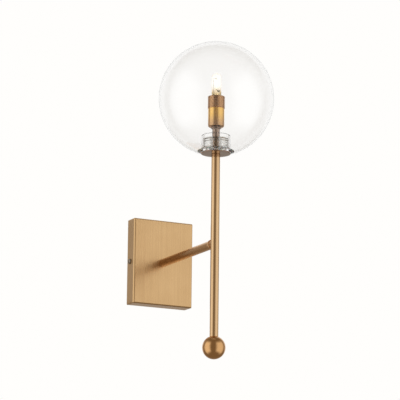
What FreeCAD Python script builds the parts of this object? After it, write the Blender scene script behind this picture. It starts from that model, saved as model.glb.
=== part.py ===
"""Globe wall sconce: a square canopy on the wall, a level arm, an upright stem with a ball
foot, and a clear glass globe screwed onto the stem's top over a two-pin halogen capsule.

Millimetres. X runs to the right, Z up, and the front of the sconce looks along -Y.
The origin is the centre of the canopy's back, on the wall plane.
"""
import FreeCAD, Part
import math
import os

from FreeCAD import Vector

# ---- directions ----
RIGHT = Vector(1, 0, 0)
BACK = Vector(0, 1, 0)
FRONT = Vector(0, -1, 0)
UP = Vector(0, 0, 1)
DOWN = Vector(0, 0, -1)
SIDES = (-1, 1)

# ---- fits ----
SLIP = 0.03            # radial room of a thread or a plug in its hole
FREE = 0.1             # radial room of a bolt in a clearance hole

# ---- canopy and its bracket ----
CANOPY_W = 93.0
CANOPY_H = 123.0
CANOPY_D = 22.0
CANOPY_SHEET = 1.2
CANOPY_EDGE_R = 1.5
BRACKET_SHEET = 1.5
BRACKET_W = 84.0
BRACKET_H = 76.0
BRACKET_CORNER_R = 6.0
TAB_H = 28.0
TAB_DEPTH = 14.0
TAB_GAP = 0.2          # between a tab and the canopy's side wall
TAB_BEND_R = 1.0
SLOT_SPACING = 60.0
SLOT_LENGTH = 14.0
SLOT_W = 5.0
CABLE_HOLE_R = 9.0
SIDE_SCREW_Y = -8.0
SIDE_SCREW_LENGTH = 8.0

# ---- metric threads, as outside radii ----
M2_R, M3_R, M4_R, M6_R, M8_R, M10_R = 1.0, 1.5, 2.0, 3.0, 4.0, 5.0
PAN_HEAD_R = 4.0
PAN_HEAD_H = 2.4
HEAD_CHAMFER_SHARE = 0.35
OVERCUT = 1.0          # how far a cutter runs past the face it opens

# ---- arm ----
TUBE_R = 6.0
TUBE_WALL = 1.0
ARM_REACH = 184.0      # wall plane to the stem's axis
ARM_END_Y = -171.5
ARM_NIPPLE_BACK_Y = -15.0
ARM_NIPPLE_GRIP = 12.0
ARM_NIPPLE_BORE_R = 4.0
CANOPY_WASHER_R = 9.0
CANOPY_WASHER_T = 1.0
CANOPY_NUT_AF = 14.0
CANOPY_NUT_T = 3.5
ARM_BUSH_LENGTH = 13.5
ARM_STUD_BACK_Y = -160.0
ARM_STUD_FRONT_Y = -180.4
ARM_STUD_BORE_R = 2.8
COLLAR_NECK_R = 5.2
COLLAR_NECK_LENGTH = 1.7
COLLAR_RING_R = 6.9
COLLAR_RING_LENGTH = 3.0
COLLAR_SADDLE_R = 5.6

# ---- stem ----
STEM_Y = -ARM_REACH
STEM_TOP_Z = 125.8
STEM_FOOT_Z = -129.0
CROSS_BLOCK_HALF = 12.0
CROSS_BLOCK_BORE_R = 3.4
TOP_BUSH_LENGTH = 16.0
FOOT_BUSH_LENGTH = 14.0
BALL_R = 16.0
BALL_Z = -143.8
BALL_STUD_DEPTH = 11.0

# ---- globe seat ----
SEAT_DISC_R = 20.5
SEAT_DISC_T = 1.5
PLUG_R = 16.9
PLUG_H = 19.6
PLUG_FLOOR = 3.0       # the sleeve clamps the plug by this floor
PLUG_EDGE = 0.8
GASKET_IN_R = 17.7
GASKET_OUT_R = 20.3
GASKET_T = 1.0

# ---- globe ----
GLOBE_R = 80.0
GLOBE_Z = 204.3
GLOBE_WALL = 2.5
MOUTH_BORE_R = 17.4
MOUTH_NECK_R = 20.0
MOUTH_TOP_Z = 152.0
MOUTH_RECESS_R = 20.9
MOUTH_FOLD_R = 4.0

# ---- lampholder ----
HOLDER_NIPPLE_FOOT_Z = 112.0
HOLDER_NIPPLE_TOP_Z = 171.5
HOLDER_NIPPLE_BORE_R = 3.0
SLEEVE_R = 5.2
SLEEVE_TOP_Z = 161.6
RING_R = 7.0
RING_T = 2.2
CUP_R = 11.3
SHELL_R = 11.8
SOCKET_WALL = 1.0
SOCKET_FLOOR = 1.2
SOCKET_FLOOR_EASE = 1.0
SOCKET_CORNER_R = 2.5
SOCKET_JOINT_Z = 190.2
SOCKET_TOP_Z = 207.1
SPIGOT_R = 10.25
SPIGOT_WALL = 0.75
SPIGOT_LENGTH = 4.0
HOLDER_STRIP = 1.0
HOLDER_STRIP_W = 10.0
HOLDER_STRIP_REACH = 7.7
HOLDER_FLANGE_IN = 3.6
HOLDER_NUT_AF = 13.0
HOLDER_NUT_T = 4.0
CERAMIC_R = 9.2
CERAMIC_FOOT_Z = 183.0
CERAMIC_TOP_Z = 202.0
CERAMIC_EDGE = 0.6
RECESS_W = 15.2
RECESS_T = 6.2
RECESS_FLOOR_Z = 191.0
PIN_SLOT_W = 3.4
PIN_SLOT_T = 2.4
PIN_SLOT_FLOOR_Z = 185.0
HOLDER_SCREW_Y = 5.4
HOLDER_SCREW_HEAD_R = 1.2
HOLDER_SCREW_SHARE = 0.7    # of the ceramic under the recess
CONTACT_W = 2.6
CONTACT_GAP = 0.94
CONTACT_T = 0.3
CONTACT_H = 5.5

# ---- two-pin halogen capsule, pins 9 mm apart ----
PIN_HALF_SPACING = 4.5
PIN_WIRE_R = 0.42
PIN_LOOP_R = 0.85
PIN_TIP_Z = 186.0
PINCH_HALF_T = 2.2
PINCH_TOP_Z = 203.0
BULB_R = 6.7
BULB_FLARE_Z = 211.0
BULB_TOP_Z = 240.0
BULB_DOME_R = 4.5
BULB_WALL = 1.0
BULB_ROOM_RISE = 2.0   # the hollow's start over the pinch
FLARE_SPREAD_SHARE = 0.25
FLARE_RISE_SHARE = 0.62
BULB_TIP_R = 1.2
BULB_TIP_H = 1.5
FOIL_W = 2.6
FOIL_T = 0.2
FOIL_FOOT_Z = 194.0
FOIL_TOP_Z = 202.0
SUPPORT_WIRE_R = 0.25
SUPPORT_X = 3.65
COIL_R = 0.8
COIL_FOOT_Z = 213.0
COIL_TOP_Z = 231.0
COIL_GRIP = 1.0        # how far a support reaches into the coil
SUPPORT_TOP_Z = 233.0
SUPPORT_FOOT_Z = 211.0
SUPPORT_BEND_R = 0.8

# ---- terminal block, screws and leads ----
BLOCK_W = 19.0
BLOCK_TOP_Z = -18.0
BLOCK_H = 16.0
BLOCK_SLAB_T = 3.5
POLE_HALF_SPACING = 5.2
POLE_R = 3.4
CHIMNEY_R = 2.6
CHIMNEY_Y = -13.5
FIXING_HEAD_R = 2.6
INSERT_R = 2.3
INSERT_BORE_R = 1.5
INSERT_INSET = 1.0
TERMINAL_SCREW_R = 1.25
TERMINAL_SCREW_SUNK = 1.0
TERMINAL_SCREW_INSET = 4.0
EARTH_X = -20.0
EARTH_WASHER_R = 4.5
EARTH_WASHER_T = 0.8
LEAD_R = 0.95
LEAD_HALF_SPACING = 1.15
LEAD_BACK_Y = -7.0
LEAD_END_Z = -24.0
LEAD_CANOPY_BEND_R = 8.0
LEAD_STEM_BEND_R = 6.5
LEAD_SPREAD_R = 6.0
LEAD_SPREAD_INSET = 2.2

# ---- heights and depths that follow from the sizes above ----
CANOPY_FRONT_Y = -CANOPY_D
CANOPY_INNER_Y = CANOPY_FRONT_Y + CANOPY_SHEET
CANOPY_NUT_Y = CANOPY_INNER_Y + CANOPY_WASHER_T
TAB_OUTER_X = CANOPY_W / 2 - CANOPY_SHEET - TAB_GAP
TUBE_BORE_R = TUBE_R - TUBE_WALL
SEAT_TOP_Z = STEM_TOP_Z + SEAT_DISC_T
MOUTH_LEDGE_Z = SEAT_TOP_Z + GASKET_T
PLUG_TOP_Z = SEAT_TOP_Z + PLUG_H
SLEEVE_FOOT_Z = SEAT_TOP_Z + PLUG_FLOOR
SOCKET_FOOT_Z = SLEEVE_TOP_Z + RING_T
SOCKET_FLOOR_Z = SOCKET_FOOT_Z + SOCKET_FLOOR
HOLDER_NUT_Z = SOCKET_FLOOR_Z + HOLDER_STRIP
BLOCK_FOOT_Z = BLOCK_TOP_Z - BLOCK_H
BLOCK_MID_Z = BLOCK_TOP_Z - BLOCK_H / 2
CORNER = math.sqrt(0.5)


def on_stem(radius, height):
    """The point at a radius to the stem's right and at a height, in the plane through its axis."""
    return Vector(radius, STEM_Y, height)


def rod(radius, start, direction, length):
    return Part.makeCylinder(radius, length, start, direction)


def pipe(outer, inner, start, direction, length):
    return rod(outer, start, direction, length).cut(rod(inner, start, direction, length))


def box(x_range, y_range, z_range):
    size = [high - low for low, high in (x_range, y_range, z_range)]
    return Part.makeBox(*size, Vector(x_range[0], y_range[0], z_range[0]))


def centred(width):
    return (-width / 2, width / 2)


def around_stem(width):
    return (STEM_Y - width / 2, STEM_Y + width / 2)


def line(start, end):
    return Part.LineSegment(start, end).toShape()


def arc(start, middle, end):
    return Part.Arc(start, middle, end).toShape()


def prism(edges, sweep):
    """The solid that a closed outline of edges makes when it is swept along a vector."""
    return Part.Face(Part.Wire(edges)).extrude(sweep)


def turned(edges):
    """The solid that an outline in the plane right of the stem's axis makes when it turns round it."""
    return Part.Face(Part.Wire(edges)).revolve(on_stem(0, 0), UP, 360)


def hexagon(across_flats, start, direction, length, flat_towards):
    """A hexagonal prism whose flats face the vector flat_towards."""
    side = direction.cross(flat_towards)
    corner_r = across_flats / math.sqrt(3)
    corners = []
    for step in range(6):
        angle = math.radians(30 + 60 * step)
        offset = flat_towards * (corner_r * math.cos(angle)) + side * (corner_r * math.sin(angle))
        corners.append(start + offset)
    outline = Part.makePolygon(corners + corners[:1])
    return Part.Face(outline).extrude(direction * length)


def slot_along_x(centre_x, length, width, depth):
    """A stadium-shaped cutter through the wall side, its round ends left and right."""
    run = (length - width) / 2
    start = Vector(centre_x, depth, 0)
    cutter = box((centre_x - run, centre_x + run), (-depth, depth), centred(width))
    for side in SIDES:
        cutter = cutter.fuse(rod(width / 2, start + RIGHT * (side * run), FRONT, 2 * depth))
    return cutter.removeSplitter()


def pan_screw(head_foot, direction, shank_r, head_r, head_h, length):
    """A pan-head screw: the shank runs along direction from the face the head rests on."""
    shank = rod(shank_r, head_foot, direction, length)
    head = rod(head_r, head_foot - direction * head_h, direction, head_h)
    rim = [edge for edge in head.Edges if edge.CenterOfMass.isEqual(head_foot - direction * head_h, 1e-6)]
    head = head.makeChamfer(head_h * HEAD_CHAMFER_SHARE, rim)
    return head.fuse(shank).removeSplitter()


def rounded_path(points, radii):
    """Straight runs through the points, joined at each inner point by a tangent arc of its radius."""
    edges = []
    start = points[0]
    for before, corner, after, radius in zip(points, points[1:], points[2:], radii):
        towards = (corner - before).normalize()
        onwards = (after - corner).normalize()
        half_turn = towards.getAngle(onwards) / 2
        setback = radius * math.tan(half_turn)
        inward = (onwards - towards).normalize()
        crest = corner + inward * (radius / math.cos(half_turn) - radius)
        edges.append(line(start, corner - towards * setback))
        edges.append(arc(corner - towards * setback, crest, corner + onwards * setback))
        start = corner + onwards * setback
    edges.append(line(start, points[-1]))
    return Part.Wire(edges)


def wire_along(points, radii, wire_r):
    """A round wire that follows a rounded path."""
    path = rounded_path(points, radii)
    section = Part.Wire(Part.makeCircle(wire_r, points[0], points[1] - points[0]))
    wire = path.makePipeShell([section], True, False)
    expected = math.pi * wire_r ** 2 * path.Length
    if abs(wire.Volume / expected - 1) > 0.01:
        raise ValueError("a wire's volume is not its section times its length")
    return wire


# ---- wall side ----

def wall_bracket():
    """A pressed steel plate on the wall, with two tabs bent forward for the canopy's side screws."""
    plate = box(centred(BRACKET_W), (-BRACKET_SHEET, 0), centred(BRACKET_H))
    corners = [edge for edge in plate.Edges if abs(edge.tangentAt(edge.FirstParameter).y) > 0.5]
    plate = plate.makeFillet(BRACKET_CORNER_R, corners)
    tab_root = TAB_BEND_R + BRACKET_SHEET
    for side in SIDES:
        outer = TAB_OUTER_X
        inner = outer - BRACKET_SHEET
        bend = Vector(outer - tab_root, -tab_root, 0)
        outline = [
            line(Vector(BRACKET_W / 2 - BRACKET_CORNER_R, 0, 0), Vector(outer - tab_root, 0, 0)),
            arc(Vector(outer - tab_root, 0, 0), bend + Vector(CORNER, CORNER, 0) * tab_root,
                Vector(outer, -tab_root, 0)),
            line(Vector(outer, -tab_root, 0), Vector(outer, -TAB_DEPTH, 0)),
            line(Vector(outer, -TAB_DEPTH, 0), Vector(inner, -TAB_DEPTH, 0)),
            line(Vector(inner, -TAB_DEPTH, 0), Vector(inner, -tab_root, 0)),
            arc(Vector(inner, -tab_root, 0), bend + Vector(CORNER, CORNER, 0) * TAB_BEND_R,
                Vector(outer - tab_root, -BRACKET_SHEET, 0)),
            line(Vector(outer - tab_root, -BRACKET_SHEET, 0),
                 Vector(BRACKET_W / 2 - BRACKET_CORNER_R, -BRACKET_SHEET, 0)),
            line(Vector(BRACKET_W / 2 - BRACKET_CORNER_R, -BRACKET_SHEET, 0),
                 Vector(BRACKET_W / 2 - BRACKET_CORNER_R, 0, 0)),
        ]
        tab = prism(outline, UP * TAB_H)
        tab.translate(DOWN * (TAB_H / 2))
        if side < 0:
            tab = tab.mirror(Vector(0, 0, 0), RIGHT)
        plate = plate.fuse(tab)
    through = 2 * BRACKET_SHEET
    for side in SIDES:
        plate = plate.cut(slot_along_x(side * SLOT_SPACING / 2, SLOT_LENGTH, SLOT_W, through))
        screw_start = Vector(side * TAB_OUTER_X / 2, SIDE_SCREW_Y, 0)
        plate = plate.cut(rod(M4_R, screw_start, RIGHT * side, TAB_OUTER_X))
    plate = plate.cut(rod(CABLE_HOLE_R, BACK * through, FRONT, 2 * through))
    plate = plate.cut(rod(M3_R, Vector(0, through, BLOCK_MID_Z), FRONT, 2 * through))
    plate = plate.cut(rod(M4_R, Vector(EARTH_X, through, BLOCK_MID_Z), FRONT, 2 * through))
    return plate.removeSplitter()


def canopy():
    """A deep-drawn rectangular cover, open at the back, with small radii on its front edges."""
    shell = box(centred(CANOPY_W), (CANOPY_FRONT_Y, 0), centred(CANOPY_H))
    rounded = [edge for edge in shell.Edges if edge.BoundBox.YMin < -1e-6]
    shell = shell.makeFillet(CANOPY_EDGE_R, rounded)
    inner_w = CANOPY_W - 2 * CANOPY_SHEET
    inner_h = CANOPY_H - 2 * CANOPY_SHEET
    shell = shell.cut(box(centred(inner_w), (CANOPY_INNER_Y, CANOPY_SHEET), centred(inner_h)))
    shell = shell.cut(rod(M10_R + FREE, Vector(0, CANOPY_INNER_Y, 0), FRONT, 2 * CANOPY_SHEET))
    hole_start = Vector(-CANOPY_W, SIDE_SCREW_Y, 0)
    return shell.cut(rod(M4_R + FREE, hole_start, RIGHT, 2 * CANOPY_W))


def canopy_screws():
    """Two pan-head screws through the canopy's sides into the bracket's tabs."""
    screws = []
    for side in SIDES:
        seat = Vector(side * CANOPY_W / 2, SIDE_SCREW_Y, 0)
        screws.append(pan_screw(seat, RIGHT * -side, M4_R - SLIP, PAN_HEAD_R, PAN_HEAD_H,
                                SIDE_SCREW_LENGTH))
    return Part.makeCompound(screws)


def canopy_washer():
    start = Vector(0, CANOPY_INNER_Y, 0)
    return pipe(CANOPY_WASHER_R, M10_R + FREE, start, BACK, CANOPY_WASHER_T)


def canopy_nut():
    start = Vector(0, CANOPY_NUT_Y, 0)
    nut = hexagon(CANOPY_NUT_AF, start, BACK, CANOPY_NUT_T, UP)
    return nut.cut(rod(M10_R, start, BACK, CANOPY_NUT_T))


def terminal_block():
    """A two-pole screw terminal: a slab, a barrel for each pole, and four screw chimneys."""
    back = -BRACKET_SHEET
    block = box(centred(BLOCK_W), (back - BLOCK_SLAB_T, back), (BLOCK_FOOT_Z, BLOCK_TOP_Z))
    head_room = rod(FIXING_HEAD_R + FREE, Vector(0, back - BLOCK_SLAB_T, BLOCK_MID_Z), FRONT, BLOCK_H)
    for side in SIDES:
        foot = Vector(side * POLE_HALF_SPACING, LEAD_BACK_Y, BLOCK_FOOT_Z)
        block = block.fuse(rod(POLE_R, foot, UP, BLOCK_H))
        for height in terminal_screw_heights():
            axis = Vector(foot.x, LEAD_BACK_Y, height)
            block = block.fuse(rod(CHIMNEY_R, axis, FRONT, LEAD_BACK_Y - CHIMNEY_Y))
    for side in SIDES:
        foot = Vector(side * POLE_HALF_SPACING, LEAD_BACK_Y, BLOCK_FOOT_Z)
        block = block.cut(rod(INSERT_R + SLIP, foot, UP, BLOCK_H))
        for height in terminal_screw_heights():
            axis = Vector(foot.x, LEAD_BACK_Y, height)
            block = block.cut(rod(TERMINAL_SCREW_R + SLIP, axis, FRONT, BLOCK_H))
    block = block.cut(head_room)
    return block.cut(rod(M3_R + FREE, Vector(0, 0, BLOCK_MID_Z), FRONT, BLOCK_H)).removeSplitter()


def terminal_screw_heights():
    return (BLOCK_FOOT_Z + TERMINAL_SCREW_INSET, BLOCK_TOP_Z - TERMINAL_SCREW_INSET)


def terminal_inserts():
    """The brass tube of each pole, drilled for its two clamping screws."""
    tubes = []
    for side in SIDES:
        foot = Vector(side * POLE_HALF_SPACING, LEAD_BACK_Y, BLOCK_FOOT_Z + INSERT_INSET)
        tube = pipe(INSERT_R, INSERT_BORE_R, foot, UP, BLOCK_H - 2 * INSERT_INSET)
        for height in terminal_screw_heights():
            tube = tube.cut(rod(TERMINAL_SCREW_R, Vector(foot.x, LEAD_BACK_Y, height), FRONT, BLOCK_H))
        tubes.append(tube)
    return Part.makeCompound(tubes)


def terminal_screws():
    """Four grub screws, each down on the conductor in its tube."""
    screws = []
    for side in SIDES:
        for height in terminal_screw_heights():
            tip = Vector(side * POLE_HALF_SPACING, LEAD_BACK_Y - LEAD_R - FREE, height)
            length = tip.y - CHIMNEY_Y - TERMINAL_SCREW_SUNK
            screws.append(rod(TERMINAL_SCREW_R - SLIP, tip, FRONT, length))
    return Part.makeCompound(screws)


def terminal_fixing_screw():
    seat = Vector(0, -BRACKET_SHEET - BLOCK_SLAB_T, BLOCK_MID_Z)
    return pan_screw(seat, BACK, M3_R - SLIP, FIXING_HEAD_R, M3_R, BLOCK_SLAB_T + BRACKET_SHEET)


def earth_terminal():
    """The earth screw and its washer on the bracket."""
    face = Vector(EARTH_X, -BRACKET_SHEET, BLOCK_MID_Z)
    washer = pipe(EARTH_WASHER_R, M4_R + FREE, face, FRONT, EARTH_WASHER_T)
    seat = face + FRONT * EARTH_WASHER_T
    screw = pan_screw(seat, BACK, M4_R - SLIP, PAN_HEAD_R, PAN_HEAD_H, EARTH_WASHER_T + BRACKET_SHEET)
    return Part.makeCompound([washer, screw])


# ---- arm ----

def arm_nipple():
    """The hollow threaded nipple that clamps the arm to the canopy and lets the leads through."""
    front = CANOPY_FRONT_Y - ARM_NIPPLE_GRIP
    start = Vector(0, ARM_NIPPLE_BACK_Y, 0)
    return pipe(M10_R - SLIP, ARM_NIPPLE_BORE_R, start, FRONT, ARM_NIPPLE_BACK_Y - front)


def arm_tube():
    start = Vector(0, CANOPY_FRONT_Y, 0)
    return pipe(TUBE_R, TUBE_BORE_R, start, FRONT, CANOPY_FRONT_Y - ARM_END_Y)


def arm_end_bush():
    start = Vector(0, ARM_END_Y, 0)
    return pipe(TUBE_BORE_R - SLIP, M8_R, start, BACK, ARM_BUSH_LENGTH)


def arm_stud():
    start = Vector(0, ARM_STUD_BACK_Y, 0)
    length = ARM_STUD_BACK_Y - ARM_STUD_FRONT_Y
    return pipe(M8_R - SLIP, ARM_STUD_BORE_R, start, FRONT, length)


def arm_collar():
    """A turned ring between the arm and the stem: neck, ring, and a saddle coped to the stem."""
    neck_y = ARM_END_Y
    ring_y = neck_y - COLLAR_NECK_LENGTH
    saddle_y = ring_y - COLLAR_RING_LENGTH
    collar = rod(COLLAR_NECK_R, Vector(0, neck_y, 0), FRONT, COLLAR_NECK_LENGTH)
    collar = collar.fuse(rod(COLLAR_RING_R, Vector(0, ring_y, 0), FRONT, COLLAR_RING_LENGTH))
    collar = collar.fuse(rod(COLLAR_SADDLE_R, Vector(0, saddle_y, 0), FRONT, saddle_y - STEM_Y))
    collar = collar.cut(rod(TUBE_R, on_stem(0, -BALL_R), UP, 2 * BALL_R))
    return collar.cut(rod(M8_R, Vector(0, neck_y, 0), FRONT, ARM_REACH)).removeSplitter()


# ---- stem ----

def stem_tube():
    length = STEM_TOP_Z - STEM_FOOT_Z
    tube = pipe(TUBE_R, TUBE_BORE_R, on_stem(0, STEM_FOOT_Z), UP, length)
    return tube.cut(rod(M8_R + FREE, on_stem(0, 0), BACK, 2 * TUBE_R))


def stem_cross_block():
    """A brass block in the stem, tapped from behind for the arm's stud, and open to the top."""
    block = rod(TUBE_BORE_R - SLIP, on_stem(0, -CROSS_BLOCK_HALF), UP, 2 * CROSS_BLOCK_HALF)
    block = block.cut(rod(CROSS_BLOCK_BORE_R, on_stem(0, 0), UP, CROSS_BLOCK_HALF))
    block = block.cut(rod(ARM_STUD_BORE_R + FREE, on_stem(0, 0), BACK, TUBE_R))
    stud_seat = Vector(0, ARM_STUD_FRONT_Y, 0)
    return block.cut(rod(M8_R, stud_seat, BACK, TUBE_R))


def stem_foot_bush():
    return pipe(TUBE_BORE_R - SLIP, M6_R, on_stem(0, STEM_FOOT_Z), UP, FOOT_BUSH_LENGTH)


def ball_stud():
    foot = STEM_FOOT_Z - BALL_STUD_DEPTH
    length = BALL_STUD_DEPTH + FOOT_BUSH_LENGTH
    return rod(M6_R - SLIP, on_stem(0, foot), UP, length)


def ball_finial():
    """A turned ball with a flat as wide as the stem, tapped from above."""
    ball = Part.makeSphere(BALL_R, on_stem(0, BALL_Z))
    above = box(centred(4 * BALL_R), around_stem(4 * BALL_R), (STEM_FOOT_Z, STEM_FOOT_Z + BALL_R))
    ball = ball.cut(above)
    return ball.cut(rod(M6_R, on_stem(0, STEM_FOOT_Z), DOWN, BALL_STUD_DEPTH + OVERCUT))


def stem_top_bush():
    start = on_stem(0, STEM_TOP_Z)
    return pipe(TUBE_BORE_R - SLIP, M8_R, start, DOWN, TOP_BUSH_LENGTH)


# ---- globe and its seat ----

def globe_seat_disc():
    return pipe(SEAT_DISC_R, M8_R + FREE, on_stem(0, STEM_TOP_Z), UP, SEAT_DISC_T)


def globe_screw_plug():
    """The clear threaded plug that the globe's mouth screws onto, with a deep seat for the sleeve."""
    hole = M8_R + FREE
    seat = SLEEVE_R + FREE
    outline = [
        on_stem(hole, SEAT_TOP_Z),
        on_stem(PLUG_R - PLUG_EDGE, SEAT_TOP_Z),
        on_stem(PLUG_R, SEAT_TOP_Z + PLUG_EDGE),
        on_stem(PLUG_R, PLUG_TOP_Z - PLUG_EDGE),
        on_stem(PLUG_R - PLUG_EDGE, PLUG_TOP_Z),
        on_stem(seat, PLUG_TOP_Z),
        on_stem(seat, SLEEVE_FOOT_Z),
        on_stem(hole, SLEEVE_FOOT_Z),
    ]
    edges = [line(a, b) for a, b in zip(outline, outline[1:] + outline[:1])]
    return turned(edges)


def globe_gasket():
    return pipe(GASKET_OUT_R, GASKET_IN_R, on_stem(0, SEAT_TOP_Z), UP, GASKET_T)


def globe():
    """The blown globe: a sphere whose mouth folds inwards into a short moulded neck."""
    inner_r = GLOBE_R - GLOBE_WALL
    rim_r = (MOUTH_NECK_R - MOUTH_BORE_R) / 2
    rim_z = MOUTH_TOP_Z - rim_r
    fold_x = MOUTH_NECK_R + MOUTH_FOLD_R
    fold_reach = inner_r - MOUTH_FOLD_R
    fold_z = GLOBE_Z - math.sqrt(fold_reach ** 2 - fold_x ** 2)
    outwards = Vector(fold_x, 0, fold_z - GLOBE_Z).normalize()
    fold = on_stem(fold_x, fold_z)
    fold_end = on_stem(0, GLOBE_Z) + outwards * inner_r
    fold_middle = fold + (outwards - RIGHT).normalize() * MOUTH_FOLD_R
    foot_z = GLOBE_Z - math.sqrt(GLOBE_R ** 2 - MOUTH_RECESS_R ** 2)
    outline = [
        line(on_stem(MOUTH_BORE_R, MOUTH_LEDGE_Z), on_stem(MOUTH_BORE_R, rim_z)),
        arc(on_stem(MOUTH_BORE_R, rim_z), on_stem(MOUTH_BORE_R + rim_r, MOUTH_TOP_Z),
            on_stem(MOUTH_NECK_R, rim_z)),
        line(on_stem(MOUTH_NECK_R, rim_z), on_stem(MOUTH_NECK_R, fold_z)),
        arc(on_stem(MOUTH_NECK_R, fold_z), fold_middle, fold_end),
        arc(fold_end, on_stem(inner_r, GLOBE_Z), on_stem(0, GLOBE_Z + inner_r)),
        line(on_stem(0, GLOBE_Z + inner_r), on_stem(0, GLOBE_Z + GLOBE_R)),
        arc(on_stem(0, GLOBE_Z + GLOBE_R), on_stem(GLOBE_R, GLOBE_Z),
            on_stem(MOUTH_RECESS_R, foot_z)),
        line(on_stem(MOUTH_RECESS_R, foot_z), on_stem(MOUTH_RECESS_R, MOUTH_LEDGE_Z)),
        line(on_stem(MOUTH_RECESS_R, MOUTH_LEDGE_Z), on_stem(MOUTH_BORE_R, MOUTH_LEDGE_Z)),
    ]
    return turned(outline)


# ---- lampholder ----

def holder_nipple():
    """The long hollow nipple that clamps the disc, plug, sleeve, ring and socket to the stem."""
    length = HOLDER_NIPPLE_TOP_Z - HOLDER_NIPPLE_FOOT_Z
    start = on_stem(0, HOLDER_NIPPLE_FOOT_Z)
    return pipe(M8_R - SLIP, HOLDER_NIPPLE_BORE_R, start, UP, length)


def holder_sleeve():
    start = on_stem(0, SLEEVE_FOOT_Z)
    return pipe(SLEEVE_R, M8_R + FREE, start, UP, SLEEVE_TOP_Z - SLEEVE_FOOT_Z)


def holder_ring():
    return pipe(RING_R, M8_R + FREE, on_stem(0, SLEEVE_TOP_Z), UP, RING_T)


def socket_cup():
    """The lower half of the socket's case: a turned cup with a rounded foot."""
    inner = CUP_R - SOCKET_WALL
    bend = on_stem(CUP_R - SOCKET_CORNER_R, SOCKET_FOOT_Z + SOCKET_CORNER_R)
    hole = M8_R + FREE
    outline = [
        line(on_stem(hole, SOCKET_FOOT_Z), on_stem(CUP_R - SOCKET_CORNER_R, SOCKET_FOOT_Z)),
        arc(on_stem(CUP_R - SOCKET_CORNER_R, SOCKET_FOOT_Z),
            bend + Vector(CORNER, 0, -CORNER) * SOCKET_CORNER_R,
            on_stem(CUP_R, SOCKET_FOOT_Z + SOCKET_CORNER_R)),
        line(on_stem(CUP_R, SOCKET_FOOT_Z + SOCKET_CORNER_R), on_stem(CUP_R, SOCKET_JOINT_Z)),
        line(on_stem(CUP_R, SOCKET_JOINT_Z), on_stem(inner, SOCKET_JOINT_Z)),
        line(on_stem(inner, SOCKET_JOINT_Z), on_stem(inner, SOCKET_FLOOR_Z + SOCKET_FLOOR_EASE)),
        line(on_stem(inner, SOCKET_FLOOR_Z + SOCKET_FLOOR_EASE),
             on_stem(inner - SOCKET_FLOOR_EASE, SOCKET_FLOOR_Z)),
        line(on_stem(inner - SOCKET_FLOOR_EASE, SOCKET_FLOOR_Z), on_stem(hole, SOCKET_FLOOR_Z)),
        line(on_stem(hole, SOCKET_FLOOR_Z), on_stem(hole, SOCKET_FOOT_Z)),
    ]
    return turned(outline)


def socket_shell():
    """The upper half of the socket's case, with a spigot that seats in the cup."""
    inner = SHELL_R - SOCKET_WALL
    shell = pipe(SHELL_R, inner, on_stem(0, SOCKET_JOINT_Z), UP, SOCKET_TOP_Z - SOCKET_JOINT_Z)
    foot = on_stem(0, SOCKET_JOINT_Z - SPIGOT_LENGTH)
    spigot = pipe(SPIGOT_R, SPIGOT_R - SPIGOT_WALL, foot, UP, 2 * SPIGOT_LENGTH)
    step = pipe(SHELL_R, SPIGOT_R - SPIGOT_WALL, on_stem(0, SOCKET_JOINT_Z), UP, SPIGOT_LENGTH)
    return shell.fuse(spigot).fuse(step).removeSplitter()


def holder_nut():
    start = on_stem(0, HOLDER_NUT_Z)
    nut = hexagon(HOLDER_NUT_AF, start, UP, HOLDER_NUT_T, BACK)
    return nut.cut(rod(M8_R, start, UP, HOLDER_NUT_T))


def holder_bracket():
    """The bent strip under the nut: a floor, two uprights, and two flanges that carry the ceramic."""
    width = centred(HOLDER_STRIP_W)
    reach = HOLDER_STRIP_REACH
    floor = box(width, around_stem(2 * reach), (SOCKET_FLOOR_Z, SOCKET_FLOOR_Z + HOLDER_STRIP))
    strip = floor.cut(rod(M8_R + FREE, on_stem(0, SOCKET_FLOOR_Z), UP, HOLDER_STRIP))
    for side in SIDES:
        outer = STEM_Y + side * reach
        upright = sorted((outer, outer - side * HOLDER_STRIP))
        flange = sorted((outer, STEM_Y + side * HOLDER_FLANGE_IN))
        strip = strip.fuse(box(width, upright, (SOCKET_FLOOR_Z, CERAMIC_FOOT_Z)))
        strip = strip.fuse(box(width, flange, (CERAMIC_FOOT_Z - HOLDER_STRIP, CERAMIC_FOOT_Z)))
        hole = Vector(0, STEM_Y + side * HOLDER_SCREW_Y, CERAMIC_FOOT_Z - 2 * HOLDER_STRIP)
        strip = strip.cut(rod(M2_R + FREE, hole, UP, 3 * HOLDER_STRIP))
    return strip.removeSplitter()


def holder_body():
    """The ceramic: a drum with a recess for the lamp's pinch and a slot for each pin."""
    height = CERAMIC_TOP_Z - CERAMIC_FOOT_Z
    drum = rod(CERAMIC_R, on_stem(0, CERAMIC_FOOT_Z), UP, height)
    rims = [edge for edge in drum.Edges if len(edge.Vertexes) == 1 or edge.Closed]
    drum = drum.makeChamfer(CERAMIC_EDGE, rims)
    recess = box(centred(RECESS_W), around_stem(RECESS_T), (RECESS_FLOOR_Z, CERAMIC_TOP_Z + OVERCUT))
    drum = drum.cut(recess)
    for side in SIDES:
        x = side * PIN_HALF_SPACING
        slot = box((x - PIN_SLOT_W / 2, x + PIN_SLOT_W / 2), around_stem(PIN_SLOT_T),
                   (PIN_SLOT_FLOOR_Z, RECESS_FLOOR_Z))
        drum = drum.cut(slot)
        drum = drum.cut(rod(LEAD_R + FREE, on_stem(x, CERAMIC_FOOT_Z), UP,
                            PIN_SLOT_FLOOR_Z - CERAMIC_FOOT_Z))
        hole = Vector(0, STEM_Y + side * HOLDER_SCREW_Y, CERAMIC_FOOT_Z)
        drum = drum.cut(rod(M2_R, hole, UP, holder_screw_reach() + FREE))
    return drum


def holder_screw_reach():
    return (RECESS_FLOOR_Z - CERAMIC_FOOT_Z) * HOLDER_SCREW_SHARE


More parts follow.
